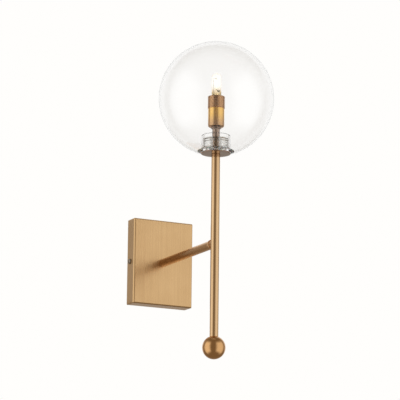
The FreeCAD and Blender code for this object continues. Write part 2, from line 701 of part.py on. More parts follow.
def holder_screws():
    """Two small screws from below through the strip's flanges into the ceramic."""
    screws = []
    for side in SIDES:
        seat = Vector(0, STEM_Y + side * HOLDER_SCREW_Y, CERAMIC_FOOT_Z - HOLDER_STRIP)
        screws.append(pan_screw(seat, UP, M2_R - SLIP, HOLDER_SCREW_HEAD_R, M2_R,
                                HOLDER_STRIP + holder_screw_reach()))
    return Part.makeCompound(screws)


def holder_contacts():
    """A U-shaped spring contact in each pin slot."""
    springs = []
    for side in SIDES:
        x = side * PIN_HALF_SPACING
        width = (x - CONTACT_W / 2, x + CONTACT_W / 2)
        outer = box(width, around_stem(CONTACT_GAP + 2 * CONTACT_T),
                    (PIN_SLOT_FLOOR_Z, PIN_SLOT_FLOOR_Z + CONTACT_H))
        gap = box(width, around_stem(CONTACT_GAP),
                  (PIN_SLOT_FLOOR_Z + CONTACT_T, PIN_SLOT_FLOOR_Z + CONTACT_H))
        springs.append(outer.cut(gap))
    return Part.makeCompound(springs)


# ---- leads inside the arm and stem ----

def lead(side):
    """One insulated lead: terminal, canopy, arm, stem and nipple, up to its spring contact."""
    near = side * LEAD_HALF_SPACING
    pole = side * POLE_HALF_SPACING
    pin = side * PIN_HALF_SPACING
    spread_foot = HOLDER_NIPPLE_TOP_Z + LEAD_SPREAD_INSET
    spread_top = CERAMIC_FOOT_Z - LEAD_SPREAD_INSET
    points = [
        Vector(pole, LEAD_BACK_Y, LEAD_END_Z),
        Vector(pole, LEAD_BACK_Y, BLOCK_TOP_Z + LEAD_SPREAD_INSET),
        Vector(near, LEAD_BACK_Y, -LEAD_CANOPY_BEND_R - LEAD_SPREAD_INSET),
        Vector(near, LEAD_BACK_Y, 0),
        on_stem(near, 0),
        on_stem(near, spread_foot),
        on_stem(pin, spread_top),
        on_stem(pin, PIN_SLOT_FLOOR_Z),
    ]
    radii = [LEAD_SPREAD_R, LEAD_SPREAD_R, LEAD_CANOPY_BEND_R, LEAD_STEM_BEND_R,
             LEAD_SPREAD_R, LEAD_SPREAD_R]
    print("lead bend radii, mm:", radii)
    return wire_along(points, radii, LEAD_R)


def live_lead():
    return lead(1)


def neutral_lead():
    return lead(-1)


# ---- lamp ----

def bulb_envelope(radius, foot, top, dome_r):
    """A cylinder about the stem's axis with a rounded top."""
    outline = [
        line(on_stem(0, foot), on_stem(radius, foot)),
        line(on_stem(radius, foot), on_stem(radius, top - dome_r)),
        arc(on_stem(radius, top - dome_r),
            on_stem(radius - dome_r * (1 - CORNER), top - dome_r * (1 - CORNER)),
            on_stem(radius - dome_r, top)),
        line(on_stem(radius - dome_r, top), on_stem(0, top)),
        line(on_stem(0, top), on_stem(0, foot)),
    ]
    return turned(outline)


def pinch_press(half_t, flare_foot, flare_top, radius):
    """The space between the pinching jaws: flat below, flaring to the full bulb by two arcs."""
    rise = (flare_top - flare_foot) / 2
    spread = (radius - half_t) / 2
    middle = (half_t + spread, flare_foot + rise)
    lower = (half_t + spread * FLARE_SPREAD_SHARE, flare_foot + rise * FLARE_RISE_SHARE)
    upper = (radius - spread * FLARE_SPREAD_SHARE, flare_top - rise * FLARE_RISE_SHARE)

    def at(point, side):
        return Vector(-2 * BULB_R, STEM_Y + side * point[0], point[1])

    foot, top = RECESS_FLOOR_Z, BULB_TOP_Z + BULB_R
    front, back = SIDES
    outline = [line(at((half_t, foot), front), at((half_t, foot), back))]
    outline.append(line(at((half_t, foot), back), at((half_t, flare_foot), back)))
    outline.append(arc(at((half_t, flare_foot), back), at(lower, back), at(middle, back)))
    outline.append(arc(at(middle, back), at(upper, back), at((radius, flare_top), back)))
    outline.append(line(at((radius, flare_top), back), at((radius, top), back)))
    outline.append(line(at((radius, top), back), at((radius, top), front)))
    outline.append(line(at((radius, top), front), at((radius, flare_top), front)))
    outline.append(arc(at((radius, flare_top), front), at(upper, front), at(middle, front)))
    outline.append(arc(at(middle, front), at(lower, front), at((half_t, flare_foot), front)))
    outline.append(line(at((half_t, flare_foot), front), at((half_t, foot), front)))
    return prism(outline, RIGHT * (4 * BULB_R))


def bulb_glass():
    """The quartz capsule: a domed tube pinched flat at its foot, with the tip of its pump stem."""
    press = pinch_press(PINCH_HALF_T, PINCH_TOP_Z, BULB_FLARE_Z, BULB_R + OVERCUT)
    glass = bulb_envelope(BULB_R, RECESS_FLOOR_Z, BULB_TOP_Z, BULB_DOME_R).common(press)
    tip = Part.makeCone(BULB_TIP_R, BULB_TIP_R / 3, BULB_TIP_H, on_stem(0, BULB_TOP_Z), UP)
    glass = glass.fuse(tip)
    room_foot = PINCH_TOP_Z + BULB_ROOM_RISE
    room = bulb_envelope(BULB_R - BULB_WALL, room_foot, BULB_TOP_Z - BULB_WALL,
                         BULB_DOME_R - BULB_WALL)
    room_press = pinch_press(PINCH_HALF_T - BULB_WALL, room_foot, BULB_FLARE_Z + BULB_ROOM_RISE,
                             BULB_R + OVERCUT)
    return glass.cut(room.common(room_press)).cut(bulb_filament()).cut(bulb_pins())


def bulb_filament():
    """Sealing foils, support wires and the coiled filament between them, as one piece."""
    tall = wire_along(
        [on_stem(-SUPPORT_X, FOIL_FOOT_Z), on_stem(-SUPPORT_X, SUPPORT_TOP_Z),
         on_stem(0, SUPPORT_TOP_Z), on_stem(0, COIL_TOP_Z - COIL_GRIP)],
        [SUPPORT_BEND_R] * 2, SUPPORT_WIRE_R)
    short = wire_along(
        [on_stem(SUPPORT_X, FOIL_FOOT_Z), on_stem(SUPPORT_X, SUPPORT_FOOT_Z),
         on_stem(0, SUPPORT_FOOT_Z), on_stem(0, COIL_FOOT_Z + COIL_GRIP)],
        [SUPPORT_BEND_R] * 2, SUPPORT_WIRE_R)
    filament = rod(COIL_R, on_stem(0, COIL_FOOT_Z), UP, COIL_TOP_Z - COIL_FOOT_Z)
    filament = filament.fuse(tall).fuse(short)
    for side in SIDES:
        x = side * PIN_HALF_SPACING
        foil = box((x - FOIL_W / 2, x + FOIL_W / 2), around_stem(FOIL_T), (FOIL_FOOT_Z, FOIL_TOP_Z))
        filament = filament.fuse(foil)
    return filament


def bulb_pins():
    """Two looped wire pins, their roots sealed in the pinch."""
    pins = []
    for side in SIDES:
        x = side * PIN_HALF_SPACING
        loop_z = PIN_TIP_Z + PIN_WIRE_R + PIN_LOOP_R
        left, right = on_stem(x - PIN_LOOP_R, loop_z), on_stem(x + PIN_LOOP_R, loop_z)
        root = FOIL_FOOT_Z - loop_z
        path = Part.Wire([
            line(left + UP * root, left),
            arc(left, on_stem(x, loop_z - PIN_LOOP_R), right),
            line(right, right + UP * root),
        ])
        section = Part.Wire(Part.makeCircle(PIN_WIRE_R, left + UP * root, DOWN))
        pins.append(path.makePipeShell([section], True, False))
    return Part.makeCompound(pins)


NODES = {
    "wall_bracket": wall_bracket,
    "terminal_block": terminal_block,
    "terminal_inserts": terminal_inserts,
    "terminal_screws": terminal_screws,
    "terminal_fixing_screw": terminal_fixing_screw,
    "earth_terminal": earth_terminal,
    "canopy": canopy,
    "canopy_screws": canopy_screws,
    "canopy_washer": canopy_washer,
    "canopy_nut": canopy_nut,
    "arm_nipple": arm_nipple,
    "arm_tube": arm_tube,
    "arm_end_bush": arm_end_bush,
    "arm_stud": arm_stud,
    "arm_collar": arm_collar,
    "stem_tube": stem_tube,
    "stem_cross_block": stem_cross_block,
    "stem_foot_bush": stem_foot_bush,
    "ball_stud": ball_stud,
    "ball_finial": ball_finial,
    "stem_top_bush": stem_top_bush,
    "globe_seat_disc": globe_seat_disc,
    "globe_screw_plug": globe_screw_plug,
    "globe_gasket": globe_gasket,
    "globe": globe,
    "holder_nipple": holder_nipple,
    "holder_sleeve": holder_sleeve,
    "holder_ring": holder_ring,
    "socket_cup": socket_cup,
    "socket_shell": socket_shell,
    "holder_nut": holder_nut,
    "holder_bracket": holder_bracket,
    "holder_body": holder_body,
    "holder_screws": holder_screws,
    "holder_contacts": holder_contacts,
    "live_lead": live_lead,
    "neutral_lead": neutral_lead,
    "bulb_glass": bulb_glass,
    "bulb_filament": bulb_filament,
    "bulb_pins": bulb_pins,
}


def main():
    os.makedirs("parts", exist_ok=True)
    for name, make in NODES.items():
        shape = make()
        if not shape.isValid() or shape.Volume <= 0:
            raise ValueError(name + " is not a sound solid")
        shape.exportStep("parts/" + name + ".step")
        print("%-22s %d solid(s) %10.1f mm3" % (name, len(shape.Solids), shape.Volume))


main()
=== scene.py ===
"""The looks of a globe wall sconce: a brushed brass canopy, arm and stem, a brass ball under the
stem, and a clear glass globe screwed over a lit two-pin capsule lamp.

Sizes in the classes are millimetres in the frame's own axes: X to the right, Z up, the front
towards -Y, the origin at the middle of the canopy's back. A mesh becomes metres when it is written.
"""

import logging
import math
from abc import ABC, abstractmethod
from dataclasses import dataclass, replace
from enum import Enum
from typing import Callable, Sequence

import bpy
import numpy as np
from mathutils import Matrix, Vector


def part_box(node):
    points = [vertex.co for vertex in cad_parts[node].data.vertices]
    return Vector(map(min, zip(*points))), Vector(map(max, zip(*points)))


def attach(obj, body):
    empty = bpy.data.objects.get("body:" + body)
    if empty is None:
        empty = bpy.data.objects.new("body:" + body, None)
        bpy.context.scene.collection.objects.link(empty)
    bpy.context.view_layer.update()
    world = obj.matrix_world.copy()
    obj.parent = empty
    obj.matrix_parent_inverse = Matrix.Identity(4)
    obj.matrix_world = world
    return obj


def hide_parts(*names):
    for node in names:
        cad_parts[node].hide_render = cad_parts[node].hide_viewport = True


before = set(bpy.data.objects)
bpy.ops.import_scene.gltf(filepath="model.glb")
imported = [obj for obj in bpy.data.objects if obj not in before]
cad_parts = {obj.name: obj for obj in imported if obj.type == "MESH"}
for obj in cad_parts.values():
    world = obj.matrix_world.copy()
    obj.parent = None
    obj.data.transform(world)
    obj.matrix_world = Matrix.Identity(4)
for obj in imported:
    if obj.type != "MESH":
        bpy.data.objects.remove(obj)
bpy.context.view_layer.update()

LOG = logging.getLogger("sconce")
MM = 0.001                 # metres in a millimetre
SHARP_ANGLE = math.radians(32)
SAME_POINT = 1e-7          # mm, under which two points of a profile are one
FULL_TURN = 2 * math.pi
SIDES = (-1, 1)
CORNERS = ((1, 1), (-1, 1), (-1, -1), (1, -1))     # of a square, anticlockwise
FINE = 128                 # points around the pieces that show most

Array = np.ndarray
Point = Sequence[float]
Span = tuple[float, float]
Radial = Callable[[Array, Array, Array], Array]
Tree = bpy.types.NodeTree
Socket = bpy.types.NodeSocket


# ---------------------------------------------------------------- surfaces

@dataclass(frozen=True)
class Axis:
    """A turning axis: h runs along `along`, and the angle turns from `start` to `quarter`.

    Args:
        origin: a point on the axis, mm.
        along: unit vector of the axis.
        start: unit vector at angle 0, square to `along`.
    """
    origin: tuple[float, float, float]
    along: tuple[float, float, float]
    start: tuple[float, float, float]

    @property
    def quarter(self) -> Array:
        """The unit vector at a quarter turn: along x start."""
        return np.cross(self.along, self.start)

    def place(self, radius: Array, angle: Array, height: Array) -> Array:
        """The point origin + radius (cos(angle) start + sin(angle) quarter) + height along."""
        out = np.asarray(self.origin) + height[..., None] * np.asarray(self.along)
        out = out + (radius * np.cos(angle))[..., None] * np.asarray(self.start)
        return out + (radius * np.sin(angle))[..., None] * self.quarter


@dataclass(frozen=True)
class Surface:
    """A closed mesh: its points in mm, and its faces as lists of point numbers."""
    points: Array
    faces: list[list[int]]

    def volume(self) -> float:
        """A sixth of the sum of a . (b x c) over the faces, each cut into a fan of triangles."""
        triangles = [face[:1] + face[i:i + 2] for face in self.faces for i in range(1, len(face) - 1)]
        a, b, c = self.points[np.array(triangles)].transpose(1, 0, 2)
        return float(np.einsum("ij,ij->", a, np.cross(b, c)) / 6)

    def facing_out(self) -> "Surface":
        """The same surface with its faces turned outwards."""
        if self.volume() >= 0:
            return self
        return Surface(self.points, [face[::-1] for face in self.faces])


def joined(surfaces: Sequence[Surface]) -> Surface:
    """Several surfaces as one, each with its point numbers moved past the ones before it.

    Args:
        surfaces: the surfaces, at least one.

    Returns:
        The surface that holds all of them.
    """
    points, faces, offset = [], [], 0
    for surface in surfaces:
        points.append(surface.points)
        faces += [[number + offset for number in face] for face in surface.faces]
        offset += len(surface.points)
    return Surface(np.concatenate(points), faces)


def loft(rings: Array, poles: tuple[Point, Point] | None = None) -> Surface:
    """Joins ring i to ring i + 1 by the quads (i, j), (i, j + 1), (i + 1, j + 1), (i + 1, j).

    Args:
        rings: points of shape (rings, points around, 3).
        poles: the points that close the first and the last ring by fans; without them the last
            ring joins the first.

    Returns:
        The closed surface, facing outwards.
    """
    count, around = rings.shape[:2]
    number = np.arange(count * around).reshape(count, around)
    lower = number if poles is None else number[:-1]
    upper = np.roll(number, -1, axis=0) if poles is None else number[1:]
    quads = np.stack([lower, np.roll(lower, -1, axis=1), np.roll(upper, -1, axis=1), upper], axis=-1)
    faces = quads.reshape(-1, 4).tolist()
    points = rings.reshape(-1, 3)
    if poles is not None:
        first = np.full(around, count * around)
        fan = np.stack([first, np.roll(number[0], -1), number[0]], axis=-1)
        cap = np.stack([number[-1], np.roll(number[-1], -1), first + 1], axis=-1)
        faces += fan.tolist() + cap.tolist()
        points = np.concatenate([points, np.asarray(poles, float)])
    return Surface(points, faces).facing_out()


def rounded_profile(corners: Sequence[Point], radii: Sequence[float], closed: bool = True,
                    steps: int = 6) -> Array:
    """An outline whose corners are arcs, with no point repeated.

    At a corner that turns by t the arc of radius R starts R tan(t / 2) before it. Its centre is
    R to the inner side, and its point at share s is the centre less the spoke turned by s t.

    Args:
        corners: the outline's corners as (radius, height), mm.
        radii: each corner's radius, 0 for a sharp one.
        closed: whether the last corner joins the first; else both ends stay as they are.
        steps: straight steps in each arc.

    Returns:
        The outline's points, shape (n, 2).
    """
    points = np.asarray(corners, float)
    radius = np.asarray(radii, float)[:, None]
    towards = points - np.roll(points, 1, axis=0)
    towards /= np.linalg.norm(towards, axis=1)[:, None]
    onwards = np.roll(towards, -1, axis=0)
    cross = towards[:, 0] * onwards[:, 1] - towards[:, 1] * onwards[:, 0]
    turn = np.arctan2(cross, np.sum(towards * onwards, axis=1))[:, None]
    square = np.stack([-towards[:, 1], towards[:, 0]], axis=1)
    spoke = np.sign(turn) * square
    start = points - towards * radius * np.tan(np.abs(turn) / 2)
    centre = start + radius * spoke
    angle = (turn * np.linspace(0, 1, steps + 1))[..., None]
    across = np.stack([-spoke[:, 1], spoke[:, 0]], axis=1)[:, None, :]
    arcs = centre[:, None] - radius[:, None] * (np.cos(angle) * spoke[:, None] + np.sin(angle) * across)
    line = arcs.reshape(-1, 2)
    keep = np.linalg.norm(line - np.roll(line, 1, axis=0), axis=1) > SAME_POINT
    keep[0] = keep[0] or not closed
    return line[keep]


def arc(centre: Point, radius: float, start: float, end: float, steps: int) -> Array:
    """Points centre + radius (cos a, sin a) for angles a from start to end, in degrees."""
    angle = np.radians(np.linspace(start, end, steps + 1))
    return np.asarray(centre) + radius * np.stack([np.cos(angle), np.sin(angle)], axis=1)


def upright(radius: float, start: float, end: float, rows: int) -> Array:
    """Profile points at one radius, evenly spaced in height."""
    return np.stack([np.full(rows, radius), np.linspace(start, end, rows)], axis=1)


def turned(profile: Array, axis: Axis, sides: int = 96, radial: Radial | None = None) -> Surface:
    """The surface that a profile makes when it turns round an axis.

    Point (i, j) is at radius r_i + radial(r_i, h_i, a_j), angle a_j = 2 pi j / sides, height h_i.

    Args:
        profile: (radius, height) points, a closed loop clear of the axis, or an open line whose
            two ends lie on the axis and become poles.
        axis: the axis it turns round.
        sides: points around.
        radial: an amount added to the radius, as for a thread.

    Returns:
        The closed surface.
    """
    on_axis = profile[0, 0] < SAME_POINT and profile[-1, 0] < SAME_POINT
    rows = profile[1:-1] if on_axis else profile
    radius, height, angle = np.broadcast_arrays(
        rows[:, :1], rows[:, 1:], np.linspace(0, FULL_TURN, sides, endpoint=False)[None])
    if radial is not None:
        radius = radius + radial(radius, height, angle)
    rings = axis.place(radius, angle, height)
    if not on_axis:
        return loft(rings)
    poles = axis.place(np.zeros(2), np.zeros(2), profile[[0, -1], 1])
    return loft(rings, (poles[0], poles[1]))


def helical(start: float, end: float, pitch: float, depth: float, root_r: float,
            fade: float) -> Radial:
    """A rounded thread of one start on every row whose radius is over root_r.

    The cut is depth times a cosine of 2 pi (h / pitch) - angle, faded in over `fade` at both ends.

    Args:
        start: height where the thread starts, mm.
        end: height where it ends, mm.
        pitch: rise a turn, mm.
        depth: crest to root, mm.
        root_r: rows inside this radius stay plain.
        fade: length of the run-out at each end, mm.

    Returns:
        A function of radius, height and angle, for `turned`.
    """
    def cut(radius: Array, height: Array, angle: Array) -> Array:
        """The thread's cut into the radius, zero or less."""
        wave = 0.5 - 0.5 * np.cos(FULL_TURN * height / pitch - angle)
        inside = np.clip(np.minimum(height - start, end - height) / fade, 0, 1)
        return np.where(radius > root_r, -depth * wave * inside, 0.0)
    return cut


def swept(centres: Array, radius: float, flat: Point, sides: int) -> Surface:
    """A round wire along a line: rings of radius about each point, square to the line's run.

    The ring's first spoke is flat x run, and its second is run x the first.

    Args:
        centres: the line's points, mm.
        radius: the wire's radius, mm.
        flat: a direction that the run is never parallel to.
        sides: points around.

    Returns:
        The wire with closed ends.
    """
    run = np.gradient(centres, axis=0)
    run /= np.linalg.norm(run, axis=1)[:, None]
    first = np.cross(np.asarray(flat, float), run)
    first /= np.linalg.norm(first, axis=1)[:, None]
    second = np.cross(run, first)
    angle = np.linspace(0, FULL_TURN, sides, endpoint=False)[None, :, None]
    rings = centres[:, None] + radius * (np.cos(angle) * first[:, None] + np.sin(angle) * second[:, None])
    return loft(rings, (centres[0], centres[-1]))


@dataclass(frozen=True)
class NodeBox:
    """The box of a node of the frame, in mm."""
    low: tuple[float, float, float]
    high: tuple[float, float, float]

    @classmethod
    def of(cls, node: str) -> "NodeBox":
        """The box of the named node."""
        low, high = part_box(node)
        return cls(tuple(value / MM for value in low), tuple(value / MM for value in high))

    @property
    def radius(self) -> float:
        """Half the width, which is the radius of a piece turned round the arm or the stem."""
        return (self.high[0] - self.low[0]) / 2

    @property
    def bottom(self) -> float:
        """Its lowest height."""
        return self.low[2]

    @property
    def top(self) -> float:
        """Its highest height."""
        return self.high[2]

    @property
    def reach(self) -> Span:
        """How far in front of the wall it starts and ends."""
        return -self.high[1], -self.low[1]

    @property
    def mid(self) -> tuple[float, float, float]:
        """The middle of the box."""
        return tuple((low + high) / 2 for low, high in zip(self.low, self.high))


STEM_Y = NodeBox.of("stem_tube").mid[1]
STEM = Axis((0, STEM_Y, 0), (0, 0, 1), (1, 0, 0))      # heights from the frame's origin
ARM = Axis((0, 0, 0), (0, -1, 0), (1, 0, 0))           # heights forwards from the wall


def tube(outer: float, inner: float, start: float, end: float, edge: float, axis: Axis = STEM,
         sides: int = 96) -> Surface:
    """A tube's wall from start to end, its outer corners rounded by edge and its inner by half."""
    corners = [(inner, start), (outer, start), (outer, end), (inner, end)]
    return turned(rounded_profile(corners, [edge / 2, edge, edge, edge / 2]), axis, sides)


def ring_on_stem(node: str, inner: float, edge: float, sides: int = 96) -> Surface:
    """A ring or tube round the stem's axis that fills its node's box."""
    box = NodeBox.of(node)
    return tube(box.radius, inner, box.bottom, box.top, edge, sides=sides)


# ---------------------------------------------------------------- materials

MIX_SHARE, MIX_A, MIX_B, MIX_OUT = 0, 6, 7, 2      # a colour Mix node's sockets
WHITE = (1.0, 1.0, 1.0, 1.0)
USUAL_NOISE = (0.3, 0.7)                           # where most of a noise's values lie


def linear(hex_colour: str, level: float = 1.0) -> tuple[float, float, float, float]:
    """Turns a colour such as "#D9AE76" into red, green and blue by the sRGB curve, times a level,
    and alpha."""
    shares = [int(hex_colour[i:i + 2], 16) / 255 for i in (1, 3, 5)]
    light = [c / 12.92 if c <= 0.04045 else ((c + 0.055) / 1.055) ** 2.4 for c in shares]
    return (*(level * c for c in light), 1.0)


def set_inputs(tree: Tree, node: bpy.types.Node, inputs: dict) -> None:
    """Sets or links a node's inputs.

    Args:
        tree: the node tree.
        node: the node.
        inputs: for each input's name or number, a value to set or an output to link.
    """
    for name, value in inputs.items():
        if isinstance(value, Socket):
            tree.links.new(value, node.inputs[name])
        else:
            node.inputs[name].default_value = value


def add_node(tree: Tree, kind: str, inputs: dict | None = None, **settings: object) -> bpy.types.Node:
    """Adds a node, sets its settings, and sets or links its inputs.

    Args:
        tree: the node tree.
        kind: the node's type name, without its ShaderNode.
        inputs: for each input's name or number, a value to set or an output to link.
        **settings: properties of the node itself.

    Returns:
        The new node.
    """
    node = tree.nodes.new("ShaderNode" + kind)
    for name, value in settings.items():
        setattr(node, name, value)
    set_inputs(tree, node, inputs or {})
    return node


def maths(tree: Tree, operation: str, *values: Socket | float) -> Socket:
    """The result of a Math node."""
    return add_node(tree, "Math", dict(enumerate(values)), operation=operation).outputs[0]


def vector_maths(tree: Tree, operation: str, *values: Socket | Point) -> Socket:
    """The result of a Vector Math node: a number for a dot product, else a vector."""
    node = add_node(tree, "VectorMath", dict(enumerate(values)), operation=operation)
    return node.outputs["Value" if operation == "DOT_PRODUCT" else "Vector"]


def mixed(tree: Tree, share: Socket, first: Socket | Point, second: Socket | Point,
          **settings: object) -> Socket:
    """A colour between two, which is the second at a share of 1."""
    node = add_node(tree, "Mix", {MIX_SHARE: share, MIX_A: first, MIX_B: second}, data_type="RGBA",
                    **settings)
    return node.outputs[MIX_OUT]


def mapped(tree: Tree, value: Socket, span: Span, values: Span, kind: str = "SMOOTHSTEP") -> Socket:
    """A value that goes from the first to the second over a span, and keeps level beyond it."""
    ends = {"Value": value, "From Min": span[0], "From Max": span[1], "To Min": values[0],
            "To Max": values[1]}
    return add_node(tree, "MapRange", ends, interpolation_type=kind).outputs["Result"]


def spread(tree: Tree, noise: Socket, low: float, high: float) -> Socket:
    """Carries a noise's usual values onto low to high."""
    return mapped(tree, noise, USUAL_NOISE, (low, high), "LINEAR")


def rising(tree: Tree, span: Span, values: Span) -> Socket:
    """A value that goes smoothly from the first to the second over heights in mm."""
    place = add_node(tree, "TexCoord").outputs["Object"]
    height = add_node(tree, "SeparateXYZ", {"Vector": place}).outputs["Z"]
    return mapped(tree, height, (span[0] * MM, span[1] * MM), values)


class Grain(Enum):
    """The way a surface was brushed or turned, as how long a scratch is along X, Y and Z."""
    UPRIGHT = (1, 1, 250)
    AROUND_STEM = (60, 60, 1)
    AROUND_ARM = (60, 1, 60)
    NONE = (1, 1, 1)


def pattern(tree: Tree, size: float, grain: Grain = Grain.NONE, detail: float = 3.0) -> Socket:
    """Noise whose cells are `size` mm across the grain.

    Args:
        tree: the node tree.
        size: cell size, mm.
        grain: how the cells are stretched.
        detail: the noise's octaves.

    Returns:
        The noise's value, 0 to 1.
    """
    place = add_node(tree, "TexCoord").outputs["Object"]
    cells = [1 / (size * MM * stretch) for stretch in grain.value]
    scaled = add_node(tree, "Mapping", {"Vector": place, "Scale": cells}).outputs["Vector"]
    return add_node(tree, "TexNoise", {"Vector": scaled, "Scale": 1.0, "Detail": detail}).outputs["Fac"]


def principled(tree: Tree, inputs: dict, height: Socket, relief: float) -> Socket:
    """A Principled shader whose bump is the height's pattern, relief mm deep."""
    bump = add_node(tree, "Bump", {"Height": height, "Distance": relief * MM, "Strength": 1.0})
    inputs = {**inputs, "Normal": bump.outputs["Normal"]}
    return add_node(tree, "BsdfPrincipled", inputs).outputs["BSDF"]


def see_through(tree: Tree, share: Socket, body: Socket, tint: str = "#FFFFFF") -> Socket:
    """A shader that lets straight through the rays for which the share is 1."""
    clear = add_node(tree, "BsdfTransparent", {"Color": linear(tint)}).outputs["BSDF"]
    return add_node(tree, "MixShader", {0: share, 1: body, 2: clear}).outputs["Shader"]


def in_sight(tree: Tree, path: bpy.types.Node) -> Socket:
    """Whether a ray comes straight from the camera, or from it through glass alone.

    A ray turned back t times inside one piece of glass has passed g = 2 faces by then, and a
    reflection of metal seen through glass has passed four or more. So t (g - 2 t) is over
    nothing for the second alone.

    Args:
        tree: the node tree.
        path: its Light Path node.

    Returns:
        1 for such a ray, else 0.
    """
    faces_a_turn, under_one = 2.0, 0.5
    turns, faces = path.outputs["Glossy Depth"], path.outputs["Transmission Depth"]
    over = maths(tree, "MULTIPLY", turns, maths(tree, "MULTIPLY_ADD", turns, -faces_a_turn, faces))
    clear = maths(tree, "LESS_THAN", over, under_one)
    through = maths(tree, "MULTIPLY", path.outputs["Is Transmission Ray"], clear)
    return maths(tree, "MAXIMUM", path.outputs["Is Camera Ray"], through)


@dataclass(frozen=True)
class Finish(ABC):
    """What every finish has: the record's slot that it stands for."""
    slot: str

    def material(self) -> bpy.types.Material:
        """A new material named for the slot."""
        material = bpy.data.materials.new(self.slot)
        material.use_nodes = True
        tree = material.node_tree
        tree.nodes.clear()
        add_node(tree, "OutputMaterial", {"Surface": self.shader(tree)})
        return material

    @abstractmethod
    def shader(self, tree: Tree) -> Socket:
        """The finish's shader, built in the material's tree."""


@dataclass(frozen=True)
class BrushedMetal(Finish):
    """Metal brushed or turned with abrasive, toned and lacquered.

    Fine scratches along one direction stretch each highlight across them, the toning leaves soft
    darker clouds, and the lacquer adds a thin clear gloss on top.

    Args:
        light: the metal's bright colour.
        dark: the toned colour of scratches and clouds.
        roughness: lowest and highest roughness.
        grain: the way that the scratches run.
        scratch: width of a scratch, mm, drawn coarser than real so that it shows.
        scratch_share: how far a scratch may go towards the dark colour.
        cloud: size of the toning's clouds, mm.
        cloud_share: how far a cloud may go towards the dark colour.
        relief: height of the scratches, mm.
        lacquer: the clear coat's weight.
        lacquer_roughness: the clear coat's roughness.
        foot: the colour that the piece goes to at its foot.
        foot_span: heights between which that colour fades out, mm, or equal ones for none.
    """
    light: str = "#DAB482"
    dark: str = "#A87B48"
    roughness: Span = (0.24, 0.36)
    grain: Grain = Grain.NONE
    scratch: float = 0.8
    scratch_share: float = 0.25
    cloud: float = 35.0
    cloud_share: float = 0.25
    relief: float = 0.02
    lacquer: float = 0.15
    lacquer_roughness: float = 0.12
    foot: str = "#A87B48"
    foot_span: Span = (0.0, 0.0)

    def shader(self, tree: Tree) -> Socket:
        """Scratches over clouds over the metal's own colour."""
        scratches = pattern(tree, self.scratch, self.grain)
        clouds = pattern(tree, self.cloud)
        metal, dark = linear(self.light), linear(self.dark)
        if self.foot_span[1] > self.foot_span[0]:
            # the colour goes to the foot colour towards the foot, by height
            metal = mixed(tree, rising(tree, self.foot_span, (0.0, 1.0)), linear(self.foot), metal)
        toned = mixed(tree, spread(tree, clouds, 0.0, self.cloud_share), metal, dark)
        brushed = mixed(tree, spread(tree, scratches, 0.0, self.scratch_share), toned, dark)
        return principled(tree, {
            "Base Color": brushed, "Metallic": 1.0,
            "Roughness": spread(tree, scratches, *self.roughness), "Coat Weight": self.lacquer,
            "Coat Roughness": self.lacquer_roughness}, scratches, self.relief)


@dataclass(frozen=True)
class Moulded(Finish):
    """A moulded, pressed or fired body without metal: nylon, silicone, steatite or sleeving.

    Its fine skin breaks up the highlight, and slow clouds keep the colour from being flat.

    Args:
        light: its colour.
        dark: the colour of its clouds and pores.
        roughness: lowest and highest roughness.
        skin: size of the skin's grain, mm.
        clouds: size of a cloud, in grains.
        relief: height of that grain, mm.
        ior: index of refraction.
        translucency: subsurface weight.
    """
    light: str = "#E8E4DA"
    dark: str = "#CFC8B8"
    roughness: Span = (0.4, 0.6)
    skin: float = 0.3
    clouds: float = 20.0
    relief: float = 0.01
    ior: float = 1.5
    translucency: float = 0.0

    def shader(self, tree: Tree) -> Socket:
        """The clouded colour under the skin's grain."""
        skin = pattern(tree, self.skin)
        clouds = pattern(tree, self.skin * self.clouds, detail=2.0)
        colour = mixed(tree, spread(tree, clouds, 0.0, 1.0), linear(self.light), linear(self.dark))
        return principled(tree, {
            "Base Color": colour, "IOR": self.ior, "Roughness": spread(tree, skin, *self.roughness),
            "Subsurface Weight": self.translucency, "Subsurface Scale": MM}, skin, self.relief)


@dataclass(frozen=True)
class Paper(Moulded):
    """Rolled paper for the floor, with a share of light that only the camera sees.

    Args:
        lift: the strength of that light.
    """
    lift: float = 0.0

    def shader(self, tree: Tree) -> Socket:
        """The camera sees the paper paler than the lamps alone make it, straight or through glass.
        Reflections pass through it to the surroundings."""
        body = super().shader(tree)
        path = add_node(tree, "LightPath")
        seen = in_sight(tree, path)
        set_inputs(tree, body.node, {"Emission Color": linear(self.light),
                                     "Emission Strength": maths(tree, "MULTIPLY", seen, self.lift)})
        mirrored = maths(tree, "GREATER_THAN", path.outputs["Is Glossy Ray"], seen)
        return see_through(tree, mirrored, body)


